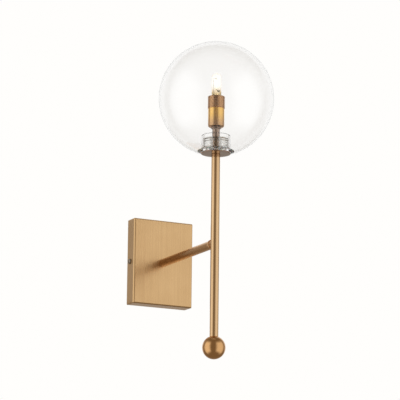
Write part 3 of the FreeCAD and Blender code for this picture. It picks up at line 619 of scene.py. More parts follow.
@dataclass(frozen=True)
class Clear(Finish):
    """Clear glass or clear plastic: it bends what is behind it and lets light through to the rest.

    Args:
        tint: colour of the light that passes.
        ior: index of refraction.
        roughness: lowest and highest roughness.
        ripple: width of the slow waves that blowing or moulding leaves, mm.
        relief: height of those waves, mm.
        foot_tint: colour of the light that passes at the foot of a lit piece.
        glow: colour of the light that it gives out when lit.
        glow_strength: strength of that light at the glow's foot and head.
        glow_span: heights between which the glow grows, mm.
    """
    tint: str = "#FFFFFF"
    ior: float = 1.5
    roughness: Span = (0.0, 0.01)
    ripple: float = 25.0
    relief: float = 0.02
    # foot_tint: colour of the light that passes at the foot of a lit piece, a painted warm glow.
    foot_tint: str = "#FFFFFF"
    glow: str = "#000000"
    glow_strength: Span = (0.0, 0.0)
    glow_span: Span = (0.0, 1.0)

    def shader(self, tree: Tree) -> Socket:
        """Glass, which casts no shadow but its tint."""
        ripple = pattern(tree, self.ripple, detail=1.0)
        inputs = {"Base Color": linear(self.tint), "IOR": self.ior, "Transmission Weight": 1.0,
                  "Roughness": spread(tree, ripple, *self.roughness)}
        if max(self.glow_strength) > 0:
            # painted glow of the lit glass: a warm tint at its foot and a faint light of its own rising
            # towards its head
            share = rising(tree, self.glow_span, (0.0, 1.0))
            inputs["Base Color"] = mixed(tree, share, linear(self.foot_tint), linear(self.tint))
            inputs["Emission Color"] = linear(self.glow)
            inputs["Emission Strength"] = rising(tree, self.glow_span, self.glow_strength)
        glass = principled(tree, inputs, ripple, self.relief)
        path = add_node(tree, "LightPath")
        return see_through(tree, path.outputs["Is Shadow Ray"], glass, self.tint)


@dataclass(frozen=True)
class Glowing(Finish):
    """Tungsten wire at white heat.

    Args:
        metal: the wire's colour when cold.
        colour: colour of its light.
        strength: strength of its light.
        roughness: lowest and highest roughness.
        mark: size of the marks that drawing leaves on the wire, mm.
    """
    metal: str = "#8C8A86"
    colour: str = "#FFE9BE"
    strength: float = 2.2
    roughness: Span = (0.4, 0.6)
    mark: float = 0.5

    def shader(self, tree: Tree) -> Socket:
        """Marked metal that shines."""
        marks = pattern(tree, self.mark, detail=2.0)
        return add_node(tree, "BsdfPrincipled", {
            "Base Color": linear(self.metal), "Metallic": 1.0,
            "Roughness": spread(tree, marks, *self.roughness),
            "Emission Color": linear(self.colour), "Emission Strength": self.strength}).outputs["BSDF"]


# Brass sheet, drawn and brushed upright, then toned and lacquered: soft upright streaks.
CANOPY_BRASS = BrushedMetal("antique_brass_plate", grain=Grain.UPRIGHT, scratch=0.6,
                            scratch_share=0.1, cloud_share=0.16, relief=0.004)
# The same brass as tube, linished round its axis: crisp bright bands along it.
TUBE_BRASS = BrushedMetal("antique_brass_tube", light="#DFBA8C", grain=Grain.AROUND_STEM,
                          scratch=0.6, roughness=(0.16, 0.24), scratch_share=0.05,
                          cloud_share=0.1, relief=0.001)
ARM_BRASS = replace(TUBE_BRASS, light="#E2B688", grain=Grain.AROUND_ARM, roughness=(0.2, 0.28))
# Turned solid brass, a little smoother than the tube.
BALL_BRASS = replace(TUBE_BRASS, slot="antique_brass_ball", light="#D9A871", roughness=(0.14, 0.2))
# Socket shell, brushed upright and toned further: copper brown with a soft gloss.
SHELL_COPPER = BrushedMetal("copper_brown_shell", light="#BA8D62", dark="#8A6240",
                            grain=Grain.UPRIGHT, roughness=(0.2, 0.28), scratch_share=0.14,
                            cloud_share=0.1, relief=0.001)
# Plain turned brass inside, hardly toned, so golden.
GOLDEN_BRASS = BrushedMetal("plain_brass", light="#E8C27C", dark="#B98C48",
                            grain=Grain.AROUND_STEM, roughness=(0.12, 0.2), cloud_share=0.1,
                            scratch_share=0.12, relief=0.003)
# Socket cup: the same metal brushed upright, painted lighter than the same brass elsewhere as painted
# light for the highlights that the lamps don't give through the glass, and darker and pinker towards its
# foot.
CUP_BRASS = BrushedMetal("plain_brass", light="#F7C66F", dark="#B98846", grain=Grain.UPRIGHT,
                         roughness=(0.16, 0.24), cloud_share=0.1, scratch_share=0.14, relief=0.001,
                         foot="#CDA378", foot_span=(165.0, 184.0))
# Sleeve and ring: a cool grey brown with a satin reflection.
DISC_BRASS = BrushedMetal("seat_disc_brass", light="#A9917F", dark="#7D6A5E",
                          grain=Grain.UPRIGHT, roughness=(0.2, 0.3), scratch_share=0.12,
                          relief=0.001)
# Stamped disc: the same tone, polished, so that it mirrors the stem's head.
SEAT_BRASS = replace(DISC_BRASS, grain=Grain.AROUND_STEM, roughness=(0.07, 0.12))
# Zinc-plated steel: bluish, with the soft mottle of the plating.
ZINC = BrushedMetal("zinc_steel", light="#C6C8CA", dark="#94989E", scratch=2.5, cloud=8.0,
                    roughness=(0.28, 0.42), lacquer=0.0)
# Nickel plating on the side screws, its colour warmed by a painted reflection of the brass around it.
NICKEL = BrushedMetal("nickel_screw", light="#B7A996", dark="#6E5C4B", scratch=0.5, cloud=3.0,
                      roughness=(0.22, 0.32), lacquer=0.0)
# Rolled spring bronze of the contacts.
BRONZE = BrushedMetal("spring_bronze", light="#C98F62", dark="#8A5A38", scratch=0.5, cloud=4.0,
                      roughness=(0.25, 0.35), lacquer=0.0)
# Blown clear glass: colourless and even.
GLOBE_GLASS = Clear("clear_glass", ior=1.42, relief=0.0)
# Clear moulded polycarbonate: a little less clear than the glass.
PLUG_CLEAR = Clear("clear_polycarbonate", tint="#F9F9F6", ior=1.5, roughness=(0.0, 0.03),
                   ripple=6.0, relief=0.004)
# Quartz glass of the lit capsule, with a painted glow: warm at its foot and white above.
QUARTZ = Clear("quartz_glass", ior=1.46, ripple=5.0, foot_tint="#E2C184", glow="#FFF0CC",
               glow_strength=(0.0, 0.12), glow_span=(210.0, 224.0))
# Moulded silicone, a little milky; pressed and fired steatite; nylon; silicone sleeving.
SILICONE = Moulded("silicone", light="#E9E9E6", dark="#DADAD6", roughness=(0.5, 0.65), ior=1.41,
                   translucency=0.4)
STEATITE = Moulded("steatite", light="#ECE6D8", dark="#DCD4C2", roughness=(0.35, 0.55), skin=0.6)
NYLON = Moulded("terminal_nylon", light="#E6E3D8", dark="#D8D4C6", translucency=0.2, ior=1.53)
BROWN_SLEEVE = Moulded("brown_sleeving", light="#6E4428", dark="#5B371F", roughness=(0.45, 0.6))
BLUE_SLEEVE = Moulded("blue_sleeving", light="#3D6FB0", dark="#315C96", roughness=(0.45, 0.6))
TUNGSTEN = Glowing("tungsten")
# Rolled paper under the sconce, nearly white and quite matt.
FLOOR_PAPER = Paper("floor_paper", light="#E4E3E0", dark="#E0DFDC", roughness=(0.7, 0.8),
                    skin=40.0, lift=0.86)


def placed(name: str, data: bpy.types.ID) -> bpy.types.Object:
    """A new object in the scene."""
    made = bpy.data.objects.new(name, data)
    bpy.context.scene.collection.objects.link(made)
    return made


class Workshop:
    """Writes meshes into the scene, dresses them and ties them to the frame."""

    def __init__(self) -> None:
        """Starts with no material made."""
        self.made: dict[Finish, bpy.types.Material] = {}

    def material(self, finish: Finish) -> bpy.types.Material:
        """The finish's material, built the first time it is asked for."""
        if finish not in self.made:
            self.made[finish] = finish.material()
        return self.made[finish]

    def piece(self, name: str, surface: Surface, finish: Finish, node: str,
              body: str = "fixture") -> None:
        """Makes one finished piece.

        Args:
            name: the piece's name.
            surface: its mesh, in mm.
            finish: its finish.
            node: the frame's node that it stands for.
            body: the body that it moves with.
        """
        mesh = bpy.data.meshes.new(name)
        mesh.from_pydata((surface.points * MM).tolist(), [], surface.faces)
        mesh.shade_smooth()
        mesh.set_sharp_from_angle(angle=SHARP_ANGLE)
        mesh.materials.append(self.material(finish))
        made = placed(name, mesh)
        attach(made, body)
        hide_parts(node)
        LOG.info("%s: %d faces", name, len(surface.faces))

    def dress(self, finish: Finish, *nodes: str) -> None:
        """Gives nodes that stay as they are a finish."""
        for node in nodes:
            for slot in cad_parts[node].material_slots:
                slot.material = self.material(finish)
            LOG.info("%s: finished as %s", node, finish.slot)


# ---------------------------------------------------------------- sub-assemblies

@dataclass
class WallCanopy:
    """The canopy on the wall with its bracket, terminal, side screws and the arm's nipple."""
    corner_r: float = 1.5
    bevel_inset: float = 1.4
    bevel_depth: float = 2.2
    bevel_front_r: float = 1.6
    bevel_side_r: float = 0.8
    sheet: float = 1.2
    inner_corner_r: float = 0.4
    least_r: float = 0.05
    nipple_hole_r: float = 5.1
    flat_edge: float = 0.4
    corner_steps: int = 8
    side_steps: int = 24
    nipple_bore_r: float = 4.0
    nipple_pitch: float = 1.0
    nipple_sides: int = 48
    rows_a_turn: int = 10
    thread_depth: float = 0.55
    thread_room: float = 0.1
    run_out: float = 1.0

    def outline(self, half_w: float, half_h: float, radius: float) -> Array:
        """A rectangle with round corners, in X and Z, anticlockwise, evenly divided sides.

        Args:
            half_w: half its width, mm.
            half_h: half its height, mm.
            radius: its corners' radius, mm.

        Returns:
            Points of shape (n, 2), in the same number for every size.
        """
        quarter = np.radians(np.linspace(0, 90, self.corner_steps + 1))
        share = np.linspace(0, 1, self.side_steps, endpoint=False)[1:, None]
        centres = np.array(CORNERS) * (half_w - radius, half_h - radius)
        turns = np.arange(len(CORNERS))[:, None] * FULL_TURN / 4 + quarter
        corners = centres[:, None] + radius * np.stack([np.cos(turns), np.sin(turns)], axis=-1)
        sides = corners[:, -1:] * (1 - share) + np.roll(corners, -1, axis=0)[:, :1] * share
        return np.concatenate([corners, sides], axis=1).reshape(-1, 2)

    def shell(self) -> Surface:
        """The drawn cover: outlines carried from the nipple's hole over the front edge to the wall
        and back inside. The front edge is a bevel, longer along the sides, with eased ends."""
        box = NodeBox.of("canopy")
        half_w, half_h, front, back = box.high[0], box.top, box.low[1], box.high[1]
        edge = rounded_profile(
            [(self.bevel_inset + self.bevel_front_r + self.flat_edge, 0), (self.bevel_inset, 0),
             (0, self.bevel_depth), (0, self.bevel_depth + self.bevel_side_r)],
            [0, self.bevel_front_r, self.bevel_side_r, 0], closed=False)
        inner_front = front + self.sheet
        inner_r = self.inner_corner_r
        rows = [(inset, front + depth, max(self.corner_r - inset, self.least_r))
                for inset, depth in edge]
        rows += [(0.0, back - self.flat_edge, self.corner_r), (0.0, back, self.corner_r),
                 (self.sheet, back, inner_r), (self.sheet, inner_front + inner_r, inner_r),
                 (self.sheet + inner_r, inner_front, self.least_r)]
        rings = [self.ring(self.outline(half_w - inset, half_h - inset, radius), depth)
                 for inset, depth, radius in rows]
        around = self.outline(half_w, half_h, self.corner_r)
        hole = around / np.linalg.norm(around, axis=1)[:, None] * self.nipple_hole_r
        return loft(np.stack([self.ring(hole, front)] + rings + [self.ring(hole, inner_front)]))

    @staticmethod
    def ring(outline: Array, depth: float) -> Array:
        """An outline in X and Z, stood at a depth Y."""
        return np.insert(outline, 1, depth, axis=1)

    def nipple(self) -> Surface:
        """The hollow nipple with its outside thread."""
        box = NodeBox.of("arm_nipple")
        start, end = box.reach
        outer = upright(box.radius, start, end, int((end - start) / self.nipple_pitch * self.rows_a_turn))
        inner = upright(self.nipple_bore_r, end, start, 2)
        thread = helical(start, end, self.nipple_pitch, self.thread_depth,
                         self.nipple_bore_r + self.thread_room, self.run_out)
        return turned(np.concatenate([outer, inner]), ARM, self.nipple_sides, thread)

    def build(self, shop: Workshop) -> None:
        """Makes the canopy's pieces."""
        shop.piece("canopy_cover", self.shell(), CANOPY_BRASS, "canopy")
        shop.piece("threaded_arm_nipple", self.nipple(), ZINC, "arm_nipple")
        SideScrews().build(shop)
        shop.dress(ZINC, "wall_bracket", "canopy_washer", "canopy_nut", "terminal_fixing_screw",
                   "terminal_screws", "earth_terminal")
        shop.dress(GOLDEN_BRASS, "terminal_inserts")
        shop.dress(NYLON, "terminal_block")
        shop.dress(BROWN_SLEEVE, "live_lead")
        shop.dress(BLUE_SLEEVE, "neutral_lead")


@dataclass
class SideScrews:
    """The pan-head screws in the canopy's sides."""
    head_r: float = 4.0
    head_h: float = 2.4
    head_foot_r: float = 0.2
    head_top_r: float = 2.16
    head_steps: int = 12
    top_rows: int = 24
    shank_r: float = 1.97
    length: float = 8.0
    pitch: float = 0.7
    rows_a_turn: int = 10
    thread_depth: float = 0.4
    slot_w: float = 1.1
    slot_depth: float = 1.1
    slot_wall: float = 0.2
    slot_turn: float = 40.0
    sides: int = 72

    def screw(self, side: int) -> Surface:
        """One screw: a domed head with a diagonal driver slot, and a threaded shank.

        Args:
            side: -1 for the left screw, 1 for the right one.

        Returns:
            The screw's surface.
        """
        seat_x = side * NodeBox.of("canopy").high[0]
        axis = Axis((seat_x, NodeBox.of("canopy_screws").mid[1], 0), (side, 0, 0), (0, 1, 0))
        head = rounded_profile(
            [(self.shank_r, 0), (self.head_r, 0), (self.head_r, self.head_h), (0, self.head_h)],
            [0, self.head_foot_r, self.head_top_r, 0], closed=False, steps=self.head_steps)
        top_r = np.linspace(head[-2, 0], 0, self.top_rows)[1:]
        top = np.stack([top_r, np.full(len(top_r), self.head_h)], axis=1)
        rows = int(self.length / self.pitch * self.rows_a_turn)
        shank = upright(self.shank_r, -self.length, 0, rows)
        profile = np.concatenate([[(0, -self.length)], shank, head[1:-1], top])
        thread = helical(-self.length, 0, self.pitch, self.thread_depth, 0, self.pitch)
        surface = turned(profile, axis, self.sides, thread)
        return Surface(self.slotted(surface.points, axis), surface.faces)

    def slotted(self, points: Array, axis: Axis) -> Array:
        """The points with the driver slot pressed into the head's top.

        The top sinks to the slot's floor where the distance to the slot's line is under half its
        width, with walls as steep as the grid allows.

        Args:
            points: the screw's points, mm.
            axis: the screw's axis.

        Returns:
            The points with some of them sunk.
        """
        local = points - np.asarray(axis.origin)
        height = local @ np.asarray(axis.along)
        turn = math.radians(self.slot_turn)
        across = np.asarray(axis.start) * math.cos(turn) + axis.quarter * math.sin(turn)
        distance = np.abs(local @ across)
        press = np.clip(((self.slot_w + self.slot_wall) / 2 - distance) / self.slot_wall, 0, 1)
        floor = self.head_h - self.slot_depth
        sink = np.where(height > floor, (floor - height) * press, 0)
        return points + sink[:, None] * np.asarray(axis.along)

    def build(self, shop: Workshop) -> None:
        """Makes both screws as one piece."""
        screws = joined([self.screw(side) for side in SIDES])
        shop.piece("side_screws", screws, NICKEL, "canopy_screws")


@dataclass
class Arm:
    """The level arm and the turned collar that meets the stem."""
    wall: float = 1.0
    edge_r: float = 0.3
    neck_r: float = 5.2
    neck_length: float = 1.7
    ring_r: float = 6.9
    ring_length: float = 3.0
    saddle_r: float = 5.6
    hole_r: float = 4.0
    collar_edges: tuple[float, ...] = (0, 0.2, 0.1, 0.6, 1.1, 0.1, 0, 0)  # from hole to hole

    def collar(self) -> Surface:
        """The collar: a neck, a ring and a saddle whose end lies on the stem.

        A point at x beside the arm's axis meets the stem where it stands sqrt(R^2 - x^2) in front of
        the stem's axis, so the saddle's end rows are moved to that depth.
        """
        stem_front, stem_r = -STEM_Y, NodeBox.of("stem_tube").radius
        start = NodeBox.of("arm_collar").reach[0]
        ring = start + self.neck_length
        saddle = ring + self.ring_length
        profile = rounded_profile(
            [(self.hole_r, start), (self.neck_r, start), (self.neck_r, ring), (self.ring_r, ring),
             (self.ring_r, saddle), (self.saddle_r, saddle), (self.saddle_r, stem_front),
             (self.hole_r, stem_front)], self.collar_edges)
        surface = turned(profile, ARM)
        depth = -surface.points[:, 1]
        touch = stem_front - np.sqrt(np.maximum(stem_r ** 2 - surface.points[:, 0] ** 2, 0))
        seated = np.where(depth > stem_front - stem_r, np.minimum(depth, touch), depth)
        surface.points[:, 1] = -seated
        return surface

    def build(self, shop: Workshop) -> None:
        """Makes the arm's pieces."""
        box = NodeBox.of("arm_tube")
        level = tube(box.radius, box.radius - self.wall, *box.reach, self.edge_r, ARM)
        shop.piece("arm", level, ARM_BRASS, "arm_tube")
        shop.piece("collar", self.collar(), ARM_BRASS, "arm_collar")
        shop.dress(GOLDEN_BRASS, "arm_end_bush", "stem_cross_block", "stem_foot_bush", "stem_top_bush")
        shop.dress(ZINC, "arm_stud", "ball_stud")


@dataclass
class Stem:
    """The upright stem and the ball under it."""
    wall: float = 1.0
    edge_r: float = 0.3
    stud_hole_r: float = 3.0
    stud_hole_depth: float = 12.0
    ball_rows: int = 96

    def ball(self) -> Surface:
        """The ball, cut flat where it meets the stem, with the hole for its stud."""
        box = NodeBox.of("ball_finial")
        radius, top = box.radius, box.top
        centre = box.bottom + radius
        flat_angle = math.degrees(math.asin((top - centre) / radius))
        hole_end = top - self.stud_hole_depth
        hole = [(0, hole_end), (self.stud_hole_r, hole_end), (self.stud_hole_r, top)]
        sphere = arc((0, centre), radius, flat_angle, -90, self.ball_rows)
        return turned(np.concatenate([hole, sphere]), STEM, FINE)

    def build(self, shop: Workshop) -> None:
        """Makes the stem's pieces."""
        inner = NodeBox.of("stem_tube").radius - self.wall
        stem = ring_on_stem("stem_tube", inner, self.edge_r)
        shop.piece("stem", stem, TUBE_BRASS, "stem_tube")
        shop.piece("ball", self.ball(), BALL_BRASS, "ball_finial")


@dataclass
class GlobeSeat:
    """The disc on the stem, the clear threaded plug and the silicone ring."""
    hole_r: float = 4.1
    seat_room: float = 0.1
    disc_edge_r: float = 0.4
    plug_edge: float = 0.8
    pitch: float = 3.0
    rows_a_turn: int = 16
    thread_depth: float = 0.4
    thread_room: float = 0.1
    run_out: float = 1.5
    gasket_in_r: float = 17.7
    gasket_edge_r: float = 0.3

    def plug(self) -> Surface:
        """The plug, with a rounded thread of 3 mm pitch all the way up its side, and the deep seat
        that the sleeve stands in."""
        box, sleeve = NodeBox.of("globe_screw_plug"), NodeBox.of("holder_sleeve")
        seat_r, seat_z = sleeve.radius + self.seat_room, sleeve.bottom
        low, high, radius = box.bottom, box.top, box.radius
        rows = int((high - low) / self.pitch * self.rows_a_turn)
        wall = upright(radius, low + self.plug_edge, high - self.plug_edge, rows)
        foot = [(self.hole_r, low), (radius - self.plug_edge, low)]
        head = [(radius - self.plug_edge, high), (seat_r, high), (seat_r, seat_z), (self.hole_r, seat_z)]
        thread = helical(low, high, self.pitch, self.thread_depth, radius - self.thread_room,
                         self.run_out)
        return turned(np.concatenate([foot, wall, head]), STEM, FINE, thread)

    def build(self, shop: Workshop) -> None:
        """Makes the seat's pieces."""
        disc = ring_on_stem("globe_seat_disc", self.hole_r, self.disc_edge_r, FINE)
        gasket = ring_on_stem("globe_gasket", self.gasket_in_r, self.gasket_edge_r, FINE)
        shop.piece("seat_disc", disc, SEAT_BRASS, "globe_seat_disc")
        shop.piece("screw_plug", self.plug(), PLUG_CLEAR, "globe_screw_plug")
        shop.piece("silicone_ring", gasket, SILICONE, "globe_gasket", "globe_seal")


@dataclass
class GlobeGlass:
    """The blown globe with its mouth folded inwards."""
    wall: float = 2.5
    bore_r: float = 17.4
    neck_r: float = 20.0
    neck_top: float = 152.0
    recess_r: float = 20.9
    fold_r: float = 4.0
    foot_edge: float = 0.3
    facet_room: float = 0.03
    rows: int = 150
    rim_rows: int = 12
    fold_rows: int = 10
    sides: int = 224

    def glass(self) -> Surface:
        """The wall, as one line: from the inner pole down the inner sphere, over a fold of fold_r
        and up the neck, round its rim, down its bore, and up the outer sphere to the outer pole."""
        box = NodeBox.of("globe")
        outer_r, foot = box.radius - self.facet_room, box.bottom
        centre = box.top - box.radius
        inner_r = outer_r - self.wall
        rim_r = (self.neck_r - self.bore_r) / 2
        fold_x = self.neck_r + self.fold_r
        fold_z = centre - math.sqrt((inner_r - self.fold_r) ** 2 - fold_x ** 2)
        fold_end = math.degrees(math.atan2(fold_z - centre, fold_x))
        mouth = -math.degrees(math.acos(self.recess_r / outer_r))
        inside = arc((0, centre), inner_r, 90, fold_end, self.rows)
        fold = arc((fold_x, fold_z), self.fold_r, 360 + fold_end, 180, self.fold_rows)
        rim = arc((self.bore_r + rim_r, self.neck_top - rim_r), rim_r, 0, 180, self.rim_rows)
        foot_ring = [(self.bore_r, foot + self.foot_edge), (self.bore_r + self.foot_edge, foot),
                     (self.recess_r - self.foot_edge, foot), (self.recess_r, foot + self.foot_edge)]
        outside = arc((0, centre), outer_r, mouth, 90, self.rows)
        line = np.concatenate([inside[:-1], fold[:-1], rim, foot_ring, outside])
        return turned(line, STEM, self.sides)

    def build(self, shop: Workshop) -> None:
        """Makes the globe."""
        shop.piece("glass_globe", self.glass(), GLOBE_GLASS, "globe", "globe")


@dataclass
class Lampholder:
    """The sleeve, ring and two-part socket around the ceramic."""
    hole_r: float = 4.1
    sleeve_edge_r: float = 0.2
    ring_edge_r: float = 0.8
    wall: float = 1.0
    floor: float = 1.2
    spigot_r: float = 10.25
    spigot_wall: float = 0.75
    ledge: float = 4.0
    cup_edges: tuple[float, ...] = (0, 2.5, 0.45, 0.2, 1.0, 0)  # from hole to hole
    shell_edges: tuple[float, ...] = (0.2, 0.2, 0.1, 0.45, 0.4, 0.3, 0, 0)  # from the bore's foot
    cup_steps: int = 10

    def cup(self) -> Surface:
        """The socket's lower half: a cup with a round foot and an eased top edge."""
        box = NodeBox.of("socket_cup")
        outer, low, high = box.radius, box.bottom, box.top
        inner, bottom = outer - self.wall, low + self.floor
        profile = rounded_profile(
            [(self.hole_r, low), (outer, low), (outer, high), (inner, high), (inner, bottom),
             (self.hole_r, bottom)], self.cup_edges, steps=self.cup_steps)
        return turned(profile, STEM)

    def shell(self) -> Surface:
        """The socket's upper half, whose spigot sits inside the cup."""
        box, joint = NodeBox.of("socket_shell"), NodeBox.of("socket_cup").top
        outer, low, high = box.radius, box.bottom, box.top
        inner, bore, ledge = outer - self.wall, self.spigot_r - self.spigot_wall, joint + self.ledge
        profile = rounded_profile(
            [(bore, low), (self.spigot_r, low), (self.spigot_r, joint), (outer, joint),
             (outer, high), (inner, high), (inner, ledge), (bore, ledge)], self.shell_edges)
        return turned(profile, STEM)

    def build(self, shop: Workshop) -> None:
        """Makes the lampholder's pieces."""
        sleeve = ring_on_stem("holder_sleeve", self.hole_r, self.sleeve_edge_r)
        ring = ring_on_stem("holder_ring", self.hole_r, self.ring_edge_r)
        shop.piece("sleeve", sleeve, DISC_BRASS, "holder_sleeve")
        shop.piece("ring", ring, DISC_BRASS, "holder_ring")
        shop.piece("cup", self.cup(), CUP_BRASS, "socket_cup")
        shop.piece("shell", self.shell(), SHELL_COPPER, "socket_shell")
        shop.dress(ZINC, "holder_nipple", "holder_nut", "holder_bracket", "holder_screws")
        shop.dress(STEATITE, "holder_body")
        shop.dress(BRONZE, "holder_contacts")


@dataclass
class CapsuleLamp:
    """The lit two-pin capsule: quartz, coil, supports and foils."""
    foot_r: float = 0.4
    foot_guide: float = 2.0  # height of the line that the foot's corner turns into
    pinch_half_t: float = 2.2
    pinch_top: float = 209.5
    flare_top: float = 216.5
    flare_share: float = 1.6  # of the tube's radius, at which the squeeze no longer shows
    flare_power: float = 1.5
    squareness: float = 8.0
    tube_rows: int = 60
    dome_r: float = 4.5
    dome_end: float = 78.0
    dome_rows: int = 14
    tip: tuple[Span, ...] = ((1.92, 0.1), (1.2, 0.4), (0.48, 1.5), (0.0, 1.5))  # radius, height
    tip_edges: tuple[float, ...] = (0, 0.4, 0.3, 0)
    sides: int = 64
    coil_r: float = 0.62
    coil_wire_r: float = 0.14
    coil_foot: float = 218.5
    coil_top: float = 231.0
    coil_pitch: float = 0.55
    points_a_turn: int = 14
    coil_sides: int = 6
    support_x: float = 3.65
    support_r: float = 0.25
    support_bend_r: float = 0.8
    support_foot: float = 216.5
    support_top: float = 233.0
    support_sides: int = 8
    foil_x: float = 4.5
    foil_w: float = 2.6
    foil_t: float = 0.2
    foil_foot: float = 197.0
    foil_top: float = 211.0
    foil_sides: int = 32
    foil_rows: int = 12

    def envelope(self) -> Surface:
        """The quartz tube with its pinch, dome and tip.

        A ring at height h has radius r(h); its depth y is r sin a squeezed to a half thickness t(h)
        by y / (1 + |y / t|^p)^(1/p), where t grows from the pinch's to well over the tube's radius.
        """
        box = NodeBox.of("bulb_glass")
        radius, low = box.radius, box.bottom
        top = box.top - self.tip[-1][1]
        foot = rounded_profile([(0, low), (radius, low), (radius, low + self.foot_guide)],
                               [0, self.foot_r, 0], closed=False)
        body = upright(radius, low + self.foot_r, top - self.dome_r, self.tube_rows)
        dome = arc((radius - self.dome_r, top - self.dome_r), self.dome_r, 0, self.dome_end,
                   self.dome_rows)
        tip = rounded_profile([(r, top + h) for r, h in self.tip], self.tip_edges, closed=False)
        surface = turned(np.concatenate([foot[:-1], body[1:], dome[1:], tip]), STEM, self.sides)
        share = np.clip((surface.points[:, 2] - self.pinch_top) / (self.flare_top - self.pinch_top), 0, 1)
        smooth = (share * share * (3 - 2 * share)) ** self.flare_power
        half_t = self.pinch_half_t + (radius * self.flare_share - self.pinch_half_t) * smooth
        offset = surface.points[:, 1] - STEM_Y
        squeezed = offset / (1 + np.abs(offset / half_t) ** self.squareness) ** (1 / self.squareness)
        surface.points[:, 1] = STEM_Y + squeezed
        return surface

    def coil(self) -> Surface:
        """The coiled filament: a wire along x = r cos a, y = r sin a, z = pitch a / 2 pi."""
        turns = (self.coil_top - self.coil_foot) / self.coil_pitch
        angle = np.linspace(0, FULL_TURN * turns, int(turns * self.points_a_turn))
        height = self.coil_foot + self.coil_pitch * angle / FULL_TURN
        line = STEM.place(np.full(len(angle), self.coil_r), angle, height)
        return swept(line, self.coil_wire_r, STEM.along, self.coil_sides)

    def supports(self) -> Surface:
        """The two wires that hold the coil, one to its head and one to its foot."""
        wires = []
        for x, bend, end in ((-self.support_x, self.support_top, self.coil_top),
                             (self.support_x, self.support_foot, self.coil_foot)):
            path = rounded_profile([(x, self.foil_foot), (x, bend), (0, bend), (0, end)],
                                   [0, self.support_bend_r, self.support_bend_r, 0], closed=False)
            line = np.insert(path, 1, STEM_Y, axis=1)
            wires.append(swept(line, self.support_r, STEM.quarter, self.support_sides))
        return joined(wires)

    def foils(self) -> Surface:
        """The two thin sealing foils in the pinch: ovals of the foil's width and thickness."""
        height, angle = np.meshgrid(np.linspace(self.foil_foot, self.foil_top, self.foil_rows),
                                    np.linspace(0, FULL_TURN, self.foil_sides, endpoint=False),
                                    indexing="ij")
        made = []
        for side in SIDES:
            x = side * self.foil_x + self.foil_w / 2 * np.cos(angle)
            y = STEM_Y + self.foil_t / 2 * np.sin(angle)
            poles = tuple((side * self.foil_x, STEM_Y, z) for z in (self.foil_foot, self.foil_top))
            made.append(loft(np.stack([x, y, height], axis=-1), poles))
        return joined(made)

    def build(self, shop: Workshop) -> None:
        """Makes the capsule's pieces."""
        shop.piece("quartz_capsule", self.envelope(), QUARTZ, "bulb_glass", "bulb")
        shop.piece("filament_coil", self.coil(), TUNGSTEN, "bulb_filament", "bulb")
        shop.piece("filament_supports", self.supports(), ZINC, "bulb_filament", "bulb")
        shop.piece("sealing_foils", self.foils(), ZINC, "bulb_filament", "bulb")
        shop.dress(ZINC, "bulb_pins")


# ---------------------------------------------------------------- studio

def heading(azimuth: float, elevation: float) -> Vector:
    """The direction at an azimuth from +Y towards +X and an elevation, in degrees."""
    yaw, rise = math.radians(azimuth), math.radians(elevation)
    return Vector((math.sin(yaw) * math.cos(rise), math.cos(yaw) * math.cos(rise), math.sin(rise)))


def fading(tree: Tree, cosine: Socket, angles: Span, level: float) -> Socket:
    """A level that rises smoothly from none at the first angle, in degrees, to full at the second.

    Args:
        tree: the node tree.
        cosine: cosine of the angle between a direction and the middle of what shines.
        angles: where it ends and where it is full.
        level: its full level.

    Returns:
        The level in that direction.
    """
    ends, full = (math.cos(math.radians(angle)) for angle in angles)
    return mapped(tree, cosine, (ends, full), (0.0, level))


@dataclass(frozen=True)
class Softbox:
    """A tall rectangular lamp that faces the sconce.

    Args:
        name: its name.
        azimuth: degrees round from the sconce's front, positive to its right.
        elevation: degrees up.
        distance: metres from the sconce's middle.
        width: metres.
        height: metres.
        radiance: brightness of its face, where 1 is the white of the picture.
        halo: degrees to its sides where its reflection ends and where it is full. A reflection sees
            the cloth around the lamp, which fades away, in place of the lamp's hard edge.
    """
    name: str
    azimuth: float
    elevation: float
    distance: float
    width: float
    height: float
    radiance: float
    halo: Span

    def away(self, elevation: float) -> Vector:
        """The direction from the sconce to the lamp's azimuth, at an elevation in degrees."""
        return heading(180 - self.azimuth, elevation)

    def build(self, target: Vector) -> None:
        """Hangs the lamp and turns it to the target. Its power is pi times its radiance and area.

        Args:
            target: the point that it faces, metres.
        """
        away = self.away(self.elevation)
        lamp = bpy.data.lights.new(self.name, "AREA")
        lamp.shape = "RECTANGLE"
        lamp.size, lamp.size_y = self.width, self.height
        lamp.energy = self.radiance * math.pi * self.width * self.height
        hung = placed(self.name, lamp)
        hung.visible_glossy = False
        hung.visible_transmission = False
        hung.location = target + away * self.distance
        hung.rotation_euler = (-away).to_track_quat("-Z", "Y").to_euler()


